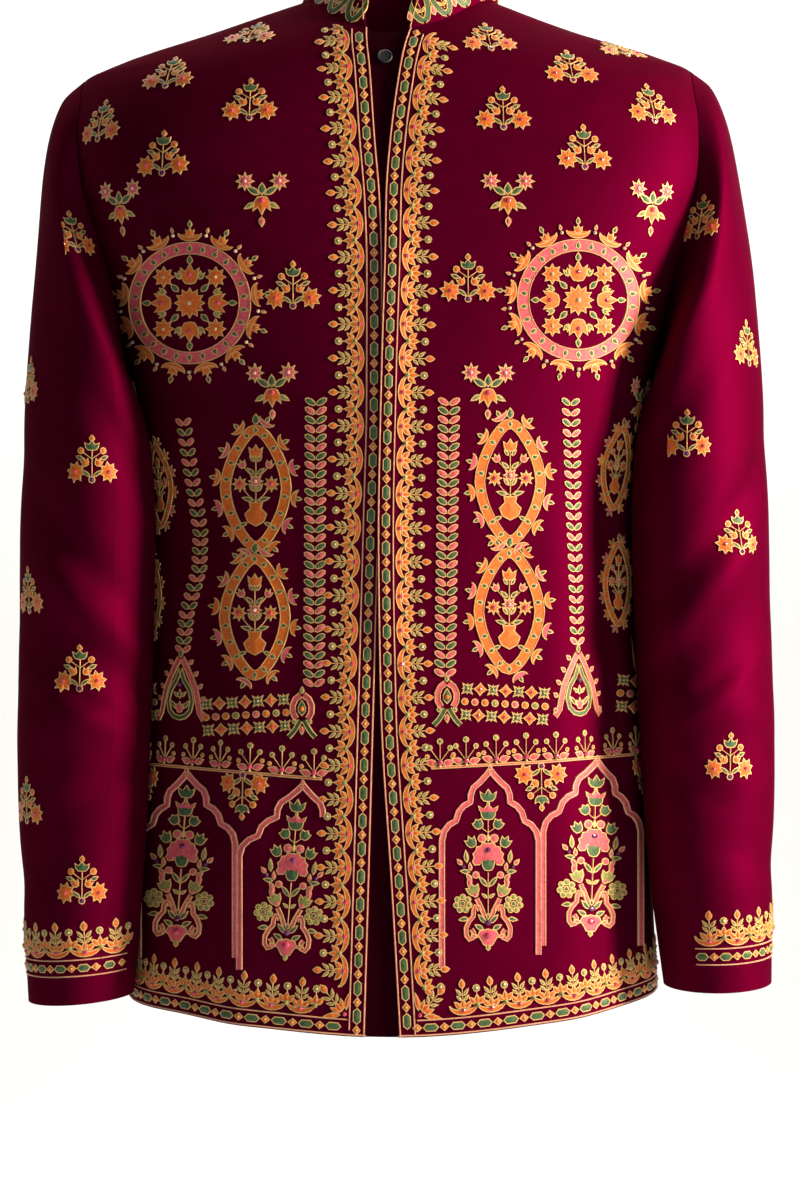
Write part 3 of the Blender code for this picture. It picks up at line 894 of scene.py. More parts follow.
class Motif:
    # one flat motif, which is copied on to the cloth
    def __init__(self, name):
        self.name = name
        self.bm = bmesh.new()
        self.beads = []

    def patch(self, outline, fill, dome=stitch["dome"]):
        base = self.bm.faces.new([self.bm.verts.new((x, y, -stitch["sunk"])) for x, y in outline])
        grown = bmesh.ops.extrude_face_region(self.bm, geom=[base])["geom"]
        top = next(item for item in grown if isinstance(item, bmesh.types.BMFace))
        bmesh.ops.translate(self.bm, verts=top.verts, vec=(0, 0, stitch["sunk"] + stitch["rise"]))
        for face in {face for vertex in (*base.verts, *top.verts) for face in vertex.link_faces}:
            face.material_index = gold
        bmesh.ops.inset_individual(self.bm, faces=[top], thickness=stitch["rim"], use_even_offset=True)
        top.material_index = fill
        if dome:
            bmesh.ops.poke(self.bm, faces=[top], offset=dome)

    def leaf(self, x, y, turn, length, width, fill, bend=0.0, fullest=0.8):
        self.patch(placed(leafLine(length, width, bend, fullest), x, y, turn), fill)

    def leaves(self, *rows):
        for row in rows:
            self.leaf(*row)

    def flower(self, x, y, radius, petals, fill, turn=0.0, notch=0.55, centre=None, bead=1.5):
        self.patch(placed(flowerLine(radius, petals, notch), x, y, turn), fill)
        if centre is not None:
            self.bead(x, y, bead, centre)

    def bud(self, x, y, turn, width, height, fill=orange, valley=0.60):
        self.patch(placed(budLine(width, height, valley), x, y, turn), fill)

    def disc(self, x, y, radius, fill, tall=1.0, turn=0.0):
        self.patch(placed(ringLine(radius, 8, tall), x, y, turn), fill)

    def crescent(self, x, y, turn, width, depth, thick, fill=orange):
        self.patch(placed(crescentLine(width, depth, thick), x, y, turn), fill, dome=0)

    def bead(self, x, y, radius, fill, fine=1):
        self.beads.append((x, y, radius, fill, fine))

    def sewOn(self, x, y, radius, fill, fine):
        made = bmesh.ops.create_icosphere(self.bm, subdivisions=fine, radius=radius)["verts"]
        bmesh.ops.scale(self.bm, vec=(1, 1, stitch["beadTall"]), verts=made)
        bmesh.ops.translate(self.bm, vec=(x, y, stitch["rise"] + stitch["beadRise"]), verts=made)
        for face in {face for vertex in made for face in vertex.link_faces}:
            face.material_index = fill

    def cord(
        self, line, width=stitch["cordWidth"], fill=gold, rise=stitch["cordRise"], narrow=stitch["cordTop"],
        closed=False,
    ):
        # a straight bar with a narrowed top, cut across and bent along the line
        count = len(line) - 1
        bar = bmesh.new()
        bmesh.ops.create_cube(bar, size=1.0)
        lengths = [edge for edge in bar.edges if edge.verts[0].co.x != edge.verts[1].co.x]
        if count > 1:
            bmesh.ops.subdivide_edges(bar, edges=lengths, cuts=count - 1)
        for vertex in bar.verts:
            step = round((vertex.co.x + 0.5) * count)
            ahead, top = aheadAt(line, step, closed), vertex.co.z > 0
            off = width * vertex.co.y * (narrow if top else 1.0)
            x, y = line[step]
            vertex.co = (x - ahead.y * off, y + ahead.x * off, rise if top else -stitch["sunk"])
        for face in bar.faces:
            face.material_index = fill
        straight = bpy.data.meshes.new("cord")
        bar.to_mesh(straight)
        bar.free()
        self.bm.from_mesh(straight)
        bpy.data.meshes.remove(straight)

    def ribbon(self, line, width, fill=pink, edge=gold, rim=stitch["flatEdge"]):
        line = finer(line, stitch["finest"])
        self.cord(line, width, fill, stitch["flatRise"], stitch["flatTop"])
        for side in (-1, 1):
            self.cord(offsetLine(line, side * width / 2), rim, edge)

    def mirror(self):
        # what is drawn so far is the right half, and gets its left half
        geom = [*self.bm.verts, *self.bm.edges, *self.bm.faces]
        bmesh.ops.mirror(self.bm, geom=geom, merge_dist=0, axis="X")
        self.beads += [(-x, *bead) for x, *bead in self.beads]

    def mesh(self):
        # the finished motif in metres, made once
        if self.name not in bpy.data.meshes:
            for bead in self.beads:
                self.sewOn(*bead)
            bmesh.ops.recalc_face_normals(self.bm, faces=self.bm.faces)
            bmesh.ops.scale(self.bm, vec=(mm, mm, mm), verts=self.bm.verts)
            self.bm.to_mesh(bpy.data.meshes.new(self.name))
        return bpy.data.meshes[self.name]


class Edging:
    # a run along one edge of a panel: distance along it, and how far in from it
    def __init__(self, panel, which):
        rows, columns = np.mgrid[0:panel.rows, 0:panel.columns]
        pick = {"front": np.s_[:, 0], "back": np.s_[:, -1], "hem": np.s_[-1, :]}[which]
        inward = {"front": (1, 0), "back": (-1, 0), "hem": (0, -1)}[which]
        u, v, points = columns[pick].astype(float), rows[pick].astype(float), panel.points[pick]
        across, down, normal = panel.tangents(u, v)
        ahead = unit(np.gradient(points, axis=0))
        inwards = np.cross(normal, ahead)
        if (inwards * (across * inward[0] + down * inward[1])).sum() < 0:
            u, v, points, ahead, normal = u[::-1], v[::-1], points[::-1], -ahead[::-1], normal[::-1]
            inwards = np.cross(normal, ahead)
        self.distance = np.concatenate([[0], np.cumsum(np.linalg.norm(np.diff(points, axis=0), axis=-1))])
        self.length = float(self.distance[-1])
        self.knots = np.column_stack([points, inwards, ahead, u, v])

    def wrapped(self, s, y):
        at = np.stack([np.interp(s, self.distance, column) for column in self.knots.T], axis=-1)
        beyond = s - np.clip(s, 0, self.length)
        targets = at[:, 0:3] + at[:, 3:6] * y[:, None] + at[:, 6:9] * beyond[:, None]
        return targets, at[:, 9], at[:, 10]


class Needlework:
    # all the embroidery of one panel, first laid flat, then wrapped over the cloth in one go
    def __init__(self, key, eye):
        self.panel = panels[key]
        self.name = f"{self.panel.name}Work"
        self.eye = eye
        self.bm = bmesh.new()
        self.copies = []

    def put(self, motif, wrap, x=0.0, y=0.0, turn=0.0, size=1.0, flip=False):
        before = len(self.bm.verts)
        self.bm.from_mesh(motif.mesh())
        if flip:
            self.bm.faces.ensure_lookup_table()
            bmesh.ops.reverse_faces(self.bm, faces=self.bm.faces[-len(motif.mesh().polygons):])
        side = -1 if flip else 1
        self.copies.append((before, len(self.bm.verts), wrap, x, y, math.radians(turn), size, side))

    def spot(self, motif, x, z, **how):
        # on the cloth that shows at a place on the board
        u, v = self.panel.seenAt(x, z, self.eye)
        _, _, normal = self.panel.tangents(u, v)
        foot = self.panel.mixAt(self.panel.points, np.array(u), np.array(v))
        right = unit(np.cross((0, 0, 1), normal))
        up = np.cross(normal, right)

        def wrapped(px, py):
            return foot + px[:, None] * right + py[:, None] * up, np.full(len(px), u), np.full(len(px), v)

        self.put(motif, wrapped, **how)

    def layout(self, motif, x, z, **how):
        # as drawn on the board, each point carried back to the cloth that shows there
        u, v = self.panel.seenAt(x, z, self.eye)

        def wrapped(px, py):
            at = self.panel.carriedBack(x + px, z + py, u, v, self.eye)
            return self.panel.mixAt(self.panel.points, *at), *at

        self.put(motif, wrapped, **how)

    def run(self, motif, edging, y, pitch, start=0.0, end=0.0, offset=0.0):
        # copies in even steps along an edge
        span = edging.length - start - end
        count = max(1, round(span / pitch))
        for i in range(count):
            self.put(motif, edging.wrapped, start + span * (i + 0.5 + offset) / count, y)

    def line(self, edging, y, start, end, width, fill=gold):
        # a cord laid along an edge
        span = edging.length - start - end
        count = max(2, round(span / stitch["edgeStep"]))
        cord = Motif(f"{self.name}Cord{len(self.copies)}")
        cord.cord([(span / mm * i / count, 0.0) for i in range(count + 1)], width, fill)
        self.put(cord, edging.wrapped, start, y)

    def wrapOn(self):
        mesh = bpy.data.meshes.new(self.name)
        self.bm.to_mesh(mesh)
        self.bm.free()
        places = np.empty(3 * len(mesh.vertices), np.float32)
        mesh.vertices.foreach_get("co", places)
        places = places.reshape(-1, 3).astype(float)
        targets, u, v = np.empty((len(places), 3)), np.empty(len(places)), np.empty(len(places))
        for first, last, wrap, x, y, turn, size, side in self.copies:
            flat = places[first:last, :2] * size * (side, 1)
            px = x + flat[:, 0] * math.cos(turn) - flat[:, 1] * math.sin(turn)
            py = y + flat[:, 0] * math.sin(turn) + flat[:, 1] * math.cos(turn)
            targets[first:last], u[first:last], v[first:last] = wrap(px, py)
        u, v = self.panel.nearest(targets, u, v)
        on = self.panel.mixAt(self.panel.points, u, v)
        on += unit(self.panel.mixAt(self.panel.normals, u, v)) * places[:, 2:]
        mesh.vertices.foreach_set("co", on.astype(np.float32).ravel())
        mesh.update()
        for material in threads:
            mesh.materials.append(material)
        work = bpy.data.objects.new(self.name, mesh)
        bpy.context.scene.collection.objects.link(work)
        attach(work, "root")
        print("embroidered", self.name, "triangles", sum(len(face.vertices) - 2 for face in mesh.polygons))
        return work


# the border: a band of lozenges between two cords, and a row of crescents with sprigs on it

border = {
    "body": {"cords": (0.0012, 0.0114), "middle": 0.0063, "foot": 0.0127, "shifts": (0.0, -0.5)},
    "cuff": {"cords": (0.0200, 0.0313), "middle": 0.02565, "foot": 0.0329, "shifts": (-0.22, 0.28)},
    "pitches": {"front": (0.0193, 0.0234), "hem": (0.0184, 0.0208), "cuff": (0.0156, 0.0208)},
    "lozenges": {"front": 11.6, "hem": 11.2, "cuff": 9.4},
    "lozengeHalf": 2.7,
    "lozengePoint": 2.4,
    "cordWidth": 1.3,
    "frontEnds": (0.0045, 0.0012),
    "frontSprigsFree": 0.033,
    "hemStart": 0.0130,
    "hemSprigsFree": 0.036,
}


def lozengeMotif(name, length):
    made = Motif(name)
    half, shoulder, tall = length / 2, length / 2 - border["lozengePoint"], border["lozengeHalf"]
    lower, upper = [(-shoulder, -tall), (shoulder, -tall)], [(shoulder, tall), (-shoulder, tall)]
    made.patch([(-half, 0), *lower, (half, 0), *upper], green)
    return made


def crystalMotif():
    made = Motif("crystal")
    made.patch([(-3.5, 0), (0, -2.9), (3.5, 0), (0, 2.9)], orange)
    made.bead(0, 0, 0.9, gold)
    return made


def sprigMotif(name, pitch):
    made = Motif(name)
    made.leaves(
        (0.9, 4.8, -54, 7.6, 4.0, orange, -0.9),
        (0.5, 10.4, -56, 5.6, 2.4, paleGreen, -0.7),
        (0.5, 13.6, -48, 6.6, 2.7, paleGreen, -1.0),
    )
    made.mirror()
    made.crescent(0, 0.2, 0, pitch * 0.99, 7.0, 3.9)
    made.bead(0, 3.6, 1.6, rose)
    made.leaf(0, 4.4, 0, 7.2, 4.2, orange)
    made.cord([(0, 10.8), (0, 15), (0, 19.2)], 0.9)
    made.leaf(0, 18.0, 0, 7.4, 4.8, orange, fullest=0.95)
    return made


def joinMotif():
    made = Motif("sprigJoin")
    made.leaf(0.7, 7.2, -50, 7.4, 4.0, orange, -0.8)
    made.mirror()
    made.leaf(0, 7.0, 0, 7.4, 4.2, orange)
    made.bead(0, 6.6, 1.8, paleGreen)
    made.cord([(0, 13.6), (0, 16.4)], 0.9)
    made.disc(0, 18.0, 2.7, paleGreen)
    made.bead(0, 18.0, 1.1, pearl)
    return made


def cornerMotif():
    # one larger sprig that turns the corner of the border
    made = Motif("cornerSprig")
    made.leaves(
        (2.4, 4.6, -47, 13.5, 4.2, orange, 2.0),
        (1.0, 6.0, -34, 8.4, 4.0, orange, -1.0),
        (0.5, 13.0, -54, 6.6, 2.6, paleGreen, -1.0),
        (0.5, 17.0, -46, 7.2, 2.8, paleGreen, -1.0),
    )
    made.mirror()
    made.bead(0, 3.4, 1.8, rose)
    made.leaf(0, 5.6, 0, 8.4, 4.4, orange)
    made.cord([(0, 13.0), (0, 18), (0, 23)], 0.9)
    made.leaf(0, 22.0, 0, 8.0, 5.0, orange, fullest=0.95)
    return made


def butiMotif():
    # the small spray that is scattered over the coat
    made = Motif("buti")
    made.flower(12.2, 5.6, 7.8, 8, orange, turn=11, notch=0.64, centre=rose)
    made.leaf(0.8, 1.6, -44, 9.6, 3.0, green, 1.6)
    made.bud(3.6, 9.4, -22, 5.8, 6.8)
    made.leaf(6.0, 14.2, -66, 6.6, 3.4, green)
    made.cord([(0, 14.6), (3.4, 17.0), (6.4, 19.2)], 0.8)
    made.disc(8.0, 20.4, 2.5, orange)
    made.mirror()
    made.disc(0, 0, 2.5, plum)
    made.cord([(0, 2.2), (0, 9), (0, 15), (0, 20.4)], 0.9)
    made.bud(0, 20.2, 0, 10.4, 7.6, green)
    made.leaf(0, 26.6, 0, 5.0, 4.2, orange)
    return made


lozenges = {kind: lozengeMotif(f"{kind}Lozenge", length) for kind, length in border["lozenges"].items()}
sprigs = {kind: sprigMotif(f"{kind}Sprig", pitch / mm) for kind, (_, pitch) in border["pitches"].items()}
crystal, sprigJoin, cornerSprig, buti = crystalMotif(), joinMotif(), cornerMotif(), butiMotif()


def borderRun(work, edging, kind, start=0.0, end=0.0, sprigStart=0.0, sprigEnd=0.0):
    band = border["cuff" if kind == "cuff" else "body"]
    pitch, sprigPitch = border["pitches"][kind]
    outerEnds = (start, end) if kind == "cuff" else (0.0, 0.0)
    for y, ends in zip(band["cords"], (outerEnds, (start, end))):
        work.line(edging, y, *ends, border["cordWidth"], blush)
    for motif, shift in zip((lozenges[kind], crystal), band["shifts"]):
        work.run(motif, edging, band["middle"], pitch, start, end, shift)
    work.run(sprigs[kind], edging, band["foot"], sprigPitch, sprigStart, sprigEnd)
    work.run(sprigJoin, edging, band["foot"], sprigPitch, sprigStart, sprigEnd, 0.5)


def atOneEnd(length, last):
    return (0.0, length) if last else (length, 0.0)


backEye = (0.0, 1.70, -0.437)
embroidered = ("frontLeft", "frontRight", "back", "collar", "topLeft", "topRight", "underRight")
works = {key: Needlework(key, backEye if key == "back" else cameraSettings["place"]) for key in embroidered}

for key, left in (("frontLeft", True), ("frontRight", False)):
    front, hem = Edging(panels[key], "front"), Edging(panels[key], "hem")
    borderRun(works[key], front, "front", *border["frontEnds"], *atOneEnd(border["frontSprigsFree"], left))
    hemEnds = (*atOneEnd(border["hemStart"], not left), *atOneEnd(border["hemSprigsFree"], not left))
    borderRun(works[key], hem, "hem", *hemEnds)
    foot = border["body"]["foot"]
    at, turn = (foot, -45) if left else (hem.length - foot, 45)
    works[key].put(cornerSprig, hem.wrapped, at, foot, turn=turn)
borderRun(works["back"], Edging(panels["back"], "hem"), "hem")
for key in ("topLeft", "topRight"):
    borderRun(works[key], Edging(panels[key], "hem"), "cuff")
# on the right arm the band runs one sprig past the front seam; the under sleeves are plain but for it
underCuff = Edging(panels["underRight"], "hem")
rest = underCuff.length - border["pitches"]["cuff"][1]
frontFirst = underCuff.knots[0][1] < underCuff.knots[-1][1]
borderRun(works["underRight"], underCuff, "cuff", *atOneEnd(rest, frontFirst), *atOneEnd(rest, frontFirst))

# where things lie in the photograph, in pixels, and where that is on the board
photo = {"middle": 392.7, "level": 600, "pixel": 0.000688}
butiDrop = -0.0145

butiPlaces = {
    "frontRight": [(101, 120), (170, 71), (250, 99), (163, 153), (253, 32), (293, 285)],
    "frontLeft": [(651, 103), (488, 36), (570, 65), (503, 108), (584, 147), (617, 48), (468, 278)],
    "topRight": [(73, 232), (92, 459), (80, 668), (82, 880), (30, 380), (29, 590), (27, 800)],
    "topLeft": [(701, 217), (747, 343), (687, 433), (739, 532), (730, 756)],
}


def onBoard(place):
    across, down = place[0] - photo["middle"], photo["level"] - place[1]
    return across * photo["pixel"], cameraSettings["place"][2] + down * photo["pixel"]


for key, places in butiPlaces.items():
    for place in places:
        works[key].spot(buti, *onBoard(place), y=butiDrop)
print("borders and sprays placed")


# the arcade above the hem: cusped pink arches with a flowering plant in each

arcade = {
    "halfArch": [
        (0.0, 0.0), (2.6, -3.4), (7.0, -8.2), (11.6, -12.2), (13.4, -17.0), (13.6, -22.0),
        (18.2, -24.6), (21.6, -28.6), (23.6, -35.0), (28.2, -37.6), (31.6, -42.0), (33.2, -48.5),
    ],
    "columnLow": -127.0,
    "ribbon": 3.3,
    "rim": 1.4,
}


def archMotif(name, leftWide=1.0, rightWide=1.0, whole=True, rightLow=0.0):
    made = Motif(name)
    half, side, low = arcade["halfArch"], arcade["halfArch"][-1][0], arcade["columnLow"]
    left = [(x * -leftWide, y) for x, y in [*half, (side, low)]]
    right = [(x * rightWide, y) for x, y in ([*half, (side, low - rightLow)] if whole else half[:6])]
    for line in (left[::-1], right):
        made.ribbon(line, arcade["ribbon"], pink, blush, arcade["rim"])
    made.leaf(0, -0.8, 0, 5.2, 3.0, pink)
    return made


plantLook = {
    "foot": [(0, 3.4), (3.0, 3.8), (5.4, 8.0), (7.6, 10.6), (6.0, 14.0), (0, 15.6)],
    "scroll": [
        (11.5, 14.9), (9.9, 12.8), (10.6, 8.9), (12.8, 7.9), (14.9, 10.6), (15.2, 16.0),
        (13.2, 20.4), (10.2, 24.0), (10.0, 28.0), (8.8, 30.8), (6.4, 30.2), (6.0, 27.6),
    ],
    "arm": [(2.2, 23.4), (4.8, 30.0), (8.0, 36.2)],
    "flower": [
        (0, 60.8), (4.6, 61.6), (5.6, 59.2), (9.4, 58.8), (11.2, 61.6), (9.9, 64.2),
        (10.8, 67.0), (8.8, 69.0), (8.2, 72.0), (5.4, 72.4), (3.8, 75.2), (1.4, 74.4),
    ],
    "sideFlower": (17.4, 32.6),
}


def plantMotif():
    made = Motif("plant")
    for line in (plantLook["scroll"], plantLook["arm"]):
        made.ribbon(line, 2.5, rim=1.2)
    x, y = plantLook["sideFlower"]
    made.disc(x, y, 2.0, green)
    for i in range(7):
        px, py = around(4.6, i * 360 / 7)
        made.disc(x + px, y + py, 2.3, paleGreen)
    made.leaves(
        (7.0, 9.4, -64, 5.4, 3.2, pink), (3.0, 14.8, -62, 7.4, 3.8, green),
        (1.0, 19.0, -44, 9.0, 3.6, green), (13.4, 22.6, -100, 7.4, 3.6, green),
        (14.0, 26.4, -40, 5.0, 2.6, paleGreen),
        (0.4, 36.4, -52, 5.4, 2.6, paleGreen), (0.4, 44.0, -36, 10.2, 3.4, green, 0.6),
        (12.0, 51.0, 196, 8.4, 4.0, pink, 1.2), (11.0, 48.4, -40, 6.8, 3.6, pink),
        (12.4, 54.4, -84, 7.4, 3.4, green), (12.0, 55.0, -6, 6.4, 3.0, pink),
        (17.6, 59.0, -42, 6.0, 3.4, pink), (14.6, 60.4, -6, 9.6, 3.6, paleGreen),
    )
    for x, y, radius in ((8.8, 39.2, 2.3), (8.4, 52.4, 2.6), (4.2, 77.6, 3.1)):
        made.disc(x, y, radius, pink)
    made.bud(8.8, 38.4, -22, 9.4, 8.8, paleGreen, 0.7)
    made.bud(10.0, 71.4, -26, 7.8, 9.0, green, 0.66)
    made.bud(5.0, 84.2, -30, 7.4, 7.8, green, 0.78)
    made.cord([(0, 81.6), (2.6, 83.2), (4.4, 85.0)], 0.8)
    made.bead(17.0, 58.2, 1.5, plum)
    made.mirror()
    made.patch(bothSides(plantLook["foot"]), pink)
    made.patch(bothSides(plantLook["flower"]), pink)
    for y, radius, fill in ((11.0, 2.4, rose), (19.6, 2.0, plum), (69.6, 1.9, plum)):
        made.bead(0, y, radius, fill, 2)
    made.leaves(
        (0, 0, 0, 6.0, 3.6, paleGreen), (0, 21.4, 0, 5.4, 3.0, green), (0, 75.0, 0, 6.0, 2.8, gold),
        (0, 99.4, 0, 4.4, 2.4, paleGreen),
    )
    made.cord([(0, 26), (0, 32), (0, 37), (0, 44), (0, 54)], 0.9)
    made.cord([(0, 80.0), (0, 85.0), (0, 91.0)], 0.9)
    made.bud(0, 55.0, 0, 9.4, 11.4, green, 0.7)
    made.bud(0, 94.4, 0, 13.6, 7.2, pink, 0.5)
    made.bud(0, 90.0, 0, 10.6, 8.8, green, 0.7)
    made.bud(0, 102.6, 0, 11.4, 9.4, green, 0.55)
    return made


# above the arcade: a row of sprigs on a line, rows of florets, and a finial under each column

def stalksMotif():
    made = Motif("stalks")
    made.leaf(1.8, 1.6, -72, 9.0, 5.2, pink)
    made.cord([(0.9, 4.4), (4.0, 8.6), (6.2, 11.6)], 0.8)
    made.disc(7.0, 13.2, 2.0, paleGreen)
    made.disc(8.8, 7.2, 1.7, orange)
    made.mirror()
    made.bead(0, 3.0, 1.9, rose, 2)
    made.bead(0, 0.4, 1.1, gold)
    made.cord([(0, 4.6), (0, 10.2), (0, 15.6)], 0.8)
    made.disc(0, 17.6, 2.2, paleGreen)
    return made


floretLook = {"pitch": 8.8, "rowsApart": 18.0, "discPitch": 6.9, "discs": (orange, pink, orange, paleGreen)}


def floretRowsMotif(name, count):
    made = Motif(name)
    pitch, apart, discPitch = floretLook["pitch"], floretLook["rowsApart"], floretLook["discPitch"]
    for i in range(count):
        x = (i - (count - 1) / 2) * pitch
        for y in (0.0, apart):
            if i % 2 == 0:
                made.flower(x, y, 5.7, 4, green, turn=45, notch=0.40)
                made.flower(x, y, 4.0, 4, paleGreen, notch=0.42, centre=gold, bead=0.9)
            else:
                made.flower(x, y, 4.7, 4, orange, notch=0.62, centre=rose, bead=1.1)
    discs = round(count * pitch / discPitch)
    for i in range(discs):
        made.disc((i - (discs - 1) / 2) * discPitch, apart / 2, 2.6, floretLook["discs"][i % 4])
    return made


def finialMotif():
    # a small onion bud on two spreading green blades, under each inner column
    made = Motif("finial")
    made.ribbon([(1.0, 20.0), (4.6, 17.4), (6.6, 12.8), (6.4, 7.6), (4.2, 3.6)], 3.6)
    made.ribbon([(1.4, 2.4), (3.4, -1.4), (6.0, -5.4), (9.4, -9.0)], 3.0, green)
    made.disc(5.4, 1.6, 1.9, paleGreen)
    made.mirror()
    made.leaves((0, 20.6, 0, 5.6, 3.4, paleGreen), (0, 5.4, 0, 11.4, 6.2, green))
    made.leaf(0, -1.2, 180, 6.6, 3.8, pink)
    made.bead(0, 10.4, 1.7, orange, 2)
    return made


palmetteLook = {
    "drop": [(0, 23.6), (3.6, 15.6), (9.0, 8.6), (11.4, 0.6), (9.6, -6.2), (5.2, -10.0), (0, -11.2)],
    "wing": [(1.2, 31.0), (5.2, 25.4), (9.6, 17.8), (14.2, 9.4), (16.6, 0.6), (18.6, -7.2), (22.6, -12.0)],
}


def palmetteMotif():
    # the large finial under each outer column: a green drop between pink wings
    made = Motif("palmette")
    made.ribbon(palmetteLook["wing"], 4.2)
    made.disc(22.0, -8.0, 2.0, pink)
    for x, y in [(7.6, 26.8), (12.4, 18.6), (16.8, 9.8), (19.4, 1.0)]:
        made.leaf(x, y, -50, 5.4, 3.6, pink)
    made.leaves((3.4, -5.0, -34, 9.4, 3.2, green, 1.8), (1.0, 3.6, -52, 6.4, 2.8, paleGreen))
    made.mirror()
    made.ribbon([*bothSides(palmetteLook["drop"]), palmetteLook["drop"][0]], 3.0, green)
    made.leaves((0, 31.4, 0, 7.0, 4.2, green), (0, 2.4, 0, 7.0, 3.4, green))
    made.bud(0, -7.6, 0, 7.0, 8.4, pink, 0.66)
    made.bead(0, 12.6, 1.9, plum, 2)
    return made


def chevronMotif(name, fill):
    made = Motif(name)
    made.disc(3.9, 2.3, 2.3, fill, tall=1.9, turn=-58)
    made.mirror()
    return made


# the chest rosette: a pink ring of green drops round a wreath of orange blossoms

rosetteLook = {"ring": 43.5, "ringWidth": 9.0, "steps": 52, "drops": 26, "rays": 13}


def rosetteMotif():
    made = Motif("rosette")
    ring, width = rosetteLook["ring"], rosetteLook["ringWidth"]
    rim = ring + width / 2
    flat, cord = (pink, stitch["flatRise"], 0.92), (gold, stitch["cordRise"], stitch["cordTop"])
    for radius, wide, kind in ((ring, width, flat), (ring - width / 2, 1.1, cord), (rim, 1.1, cord)):
        circle = [around(radius, -360 * i / rosetteLook["steps"]) for i in range(rosetteLook["steps"] + 1)]
        made.cord(circle, wide, *kind, closed=True)
    for i in range(rosetteLook["drops"]):
        turn = 360 * i / rosetteLook["drops"]
        made.leaf(*around(ring - 3.4, turn), turn, 7.0, 4.4, green, fullest=0.6)
    for i in range(rosetteLook["rays"]):
        turn = 360 * i / rosetteLook["rays"]
        made.crescent(*around(rim + 0.6, turn), turn, 19.5, 6.4, 3.6)
        made.bud(*around(rim + 4.4, turn), turn, 7.0, 7.6)
        made.leaf(*around(rim + 11.4, turn), turn, 6.2, 3.8, green)
        turn += 180 / rosetteLook["rays"]
        made.bead(*around(rim + 6.6, turn), 1.6, pearl)
        made.leaf(*around(rim + 8.4, turn), turn, 5.0, 2.8, pink)
    for i in range(8):
        turn = 45 * i
        if i % 2 == 0:
            made.bud(*around(14.6, turn), turn, 14.6, 17.0, orange, 0.62)
            made.leaf(*around(30.4, turn), turn, 7.4, 4.8, green)
            made.bead(*around(22.4, turn), 1.7, rose, 2)
        else:
            made.flower(*around(29.0, turn), 8.6, 8, orange, turn, 0.62, pearl)
            made.leaf(*around(12.4, turn), turn, 9.0, 4.8, green)
        for side in (-1, 1):
            made.leaf(*around(20.0, turn + side * 22.5), turn + side * 8, 7.4, 3.2, paleGreen)
    made.flower(0, 0, 12.4, 12, orange, notch=0.70)
    made.flower(0, 0, 6.4, 8, pink, notch=0.6, centre=pearl, bead=2.0)
    return made


def pendantMotif():
    # the small spray that hangs between rosettes and columns
    made = Motif("pendant")
    made.leaves((1.2, 0.6, -58, 9.4, 4.0, green), (3.6, -3.8, -118, 7.4, 3.2, paleGreen))
    made.flower(9.6, 8.4, 5.6, 8, pink, centre=pearl, bead=1.2)
    made.mirror()
    made.bud(0, 0, 180, 10.0, 11.0)
    made.leaves((0, 0.4, 0, 7.4, 4.6, green), (0, -11.6, 180, 6.0, 3.6, pink))
    made.bead(0, -2.6, 1.5, rose, 2)
    return made


# the waist medallions: tall lobed almonds of orange scrolls round a vase of flowers

medallionLook = {
    "halfWidth": 20.5,
    "halfHeight": 34.0,
    "band": 6.4,
    "steps": 36,
    "vase": [(0, -26), (5.6, -23), (7.6, -17.6), (3.8, -13.6), (4.6, -9.6)],
}


def medallionMotif():
    made = Motif("medallion")
    line, steps = [], medallionLook["steps"]
    for i in range(steps + 1):
        t = 2 * math.pi * i / steps
        narrowed, drawnOut = 1 - 0.10 * abs(math.cos(t)), 1 + 0.16 * abs(math.cos(t)) ** 6
        x, y = medallionLook["halfWidth"] * math.sin(t), medallionLook["halfHeight"] * math.cos(t)
        line.append((x * narrowed, y * drawnOut))
    made.cord(line, medallionLook["band"], orange, rise=0.6, narrow=0.9, closed=True)
    for side in (-1, 1):
        made.cord(offsetLine(line, side * medallionLook["band"] / 2), 1.0, gold, closed=True)
    for i, (x, y) in enumerate(line[:-1]):
        ahead = aheadAt(line, i, closed=True)
        turn, (outX, outY) = math.degrees(math.atan2(ahead.y, ahead.x)), (-ahead.y, ahead.x)
        if i % 2 == 0:
            made.leaf(x - 2.7 * outX, y - 2.7 * outY, turn, 5.4, 3.7, green, fullest=0.7)
        if i % 3 == 1:
            made.crescent(x + 3.8 * outX, y + 3.8 * outY, turn, 12.0, 4.6, 3.2, pink if i % 2 else orange)
            made.leaf(x + 6.4 * outX, y + 6.4 * outY, turn, 5.4, 3.2, green)
    vase = Motif("medallionVase")
    vase.cord([(0, -9.4), (5.0, -5.0), (9.4, 0.6)], 0.8)
    vase.cord([(0, 6.4), (4.0, 9.4), (7.6, 13.4)], 0.8)
    vase.flower(10.6, 2.6, 5.6, 8, orange, centre=rose)
    vase.bud(8.0, 13.4, -26, 5.6, 6.4, pink)
    vase.leaves(
        (5.6, -23.4, -112, 6.6, 3.0, green), (1.8, -8.6, -74, 8.2, 3.3, green),
        (0.8, -2.6, -34, 7.0, 2.9, paleGreen), (0.8, 9.0, -48, 7.0, 3.0, green),
        (1.0, 17.6, -36, 5.6, 2.5, green),
    )
    vase.mirror()
    vase.patch(bothSides(medallionLook["vase"]), orange)
    vase.disc(0, -18.4, 2.4, green)
    vase.cord([(0, -10), (0, 0), (0, 10), (0, 22)], 0.9)
    vase.flower(0, 4.6, 5.4, 8, pink, centre=pearl)
    vase.bud(0, 20.4, 0, 9.4, 9.2)
    vase.leaf(0, 42.4, 0, 8.0, 5.0, green)
    return made, vase


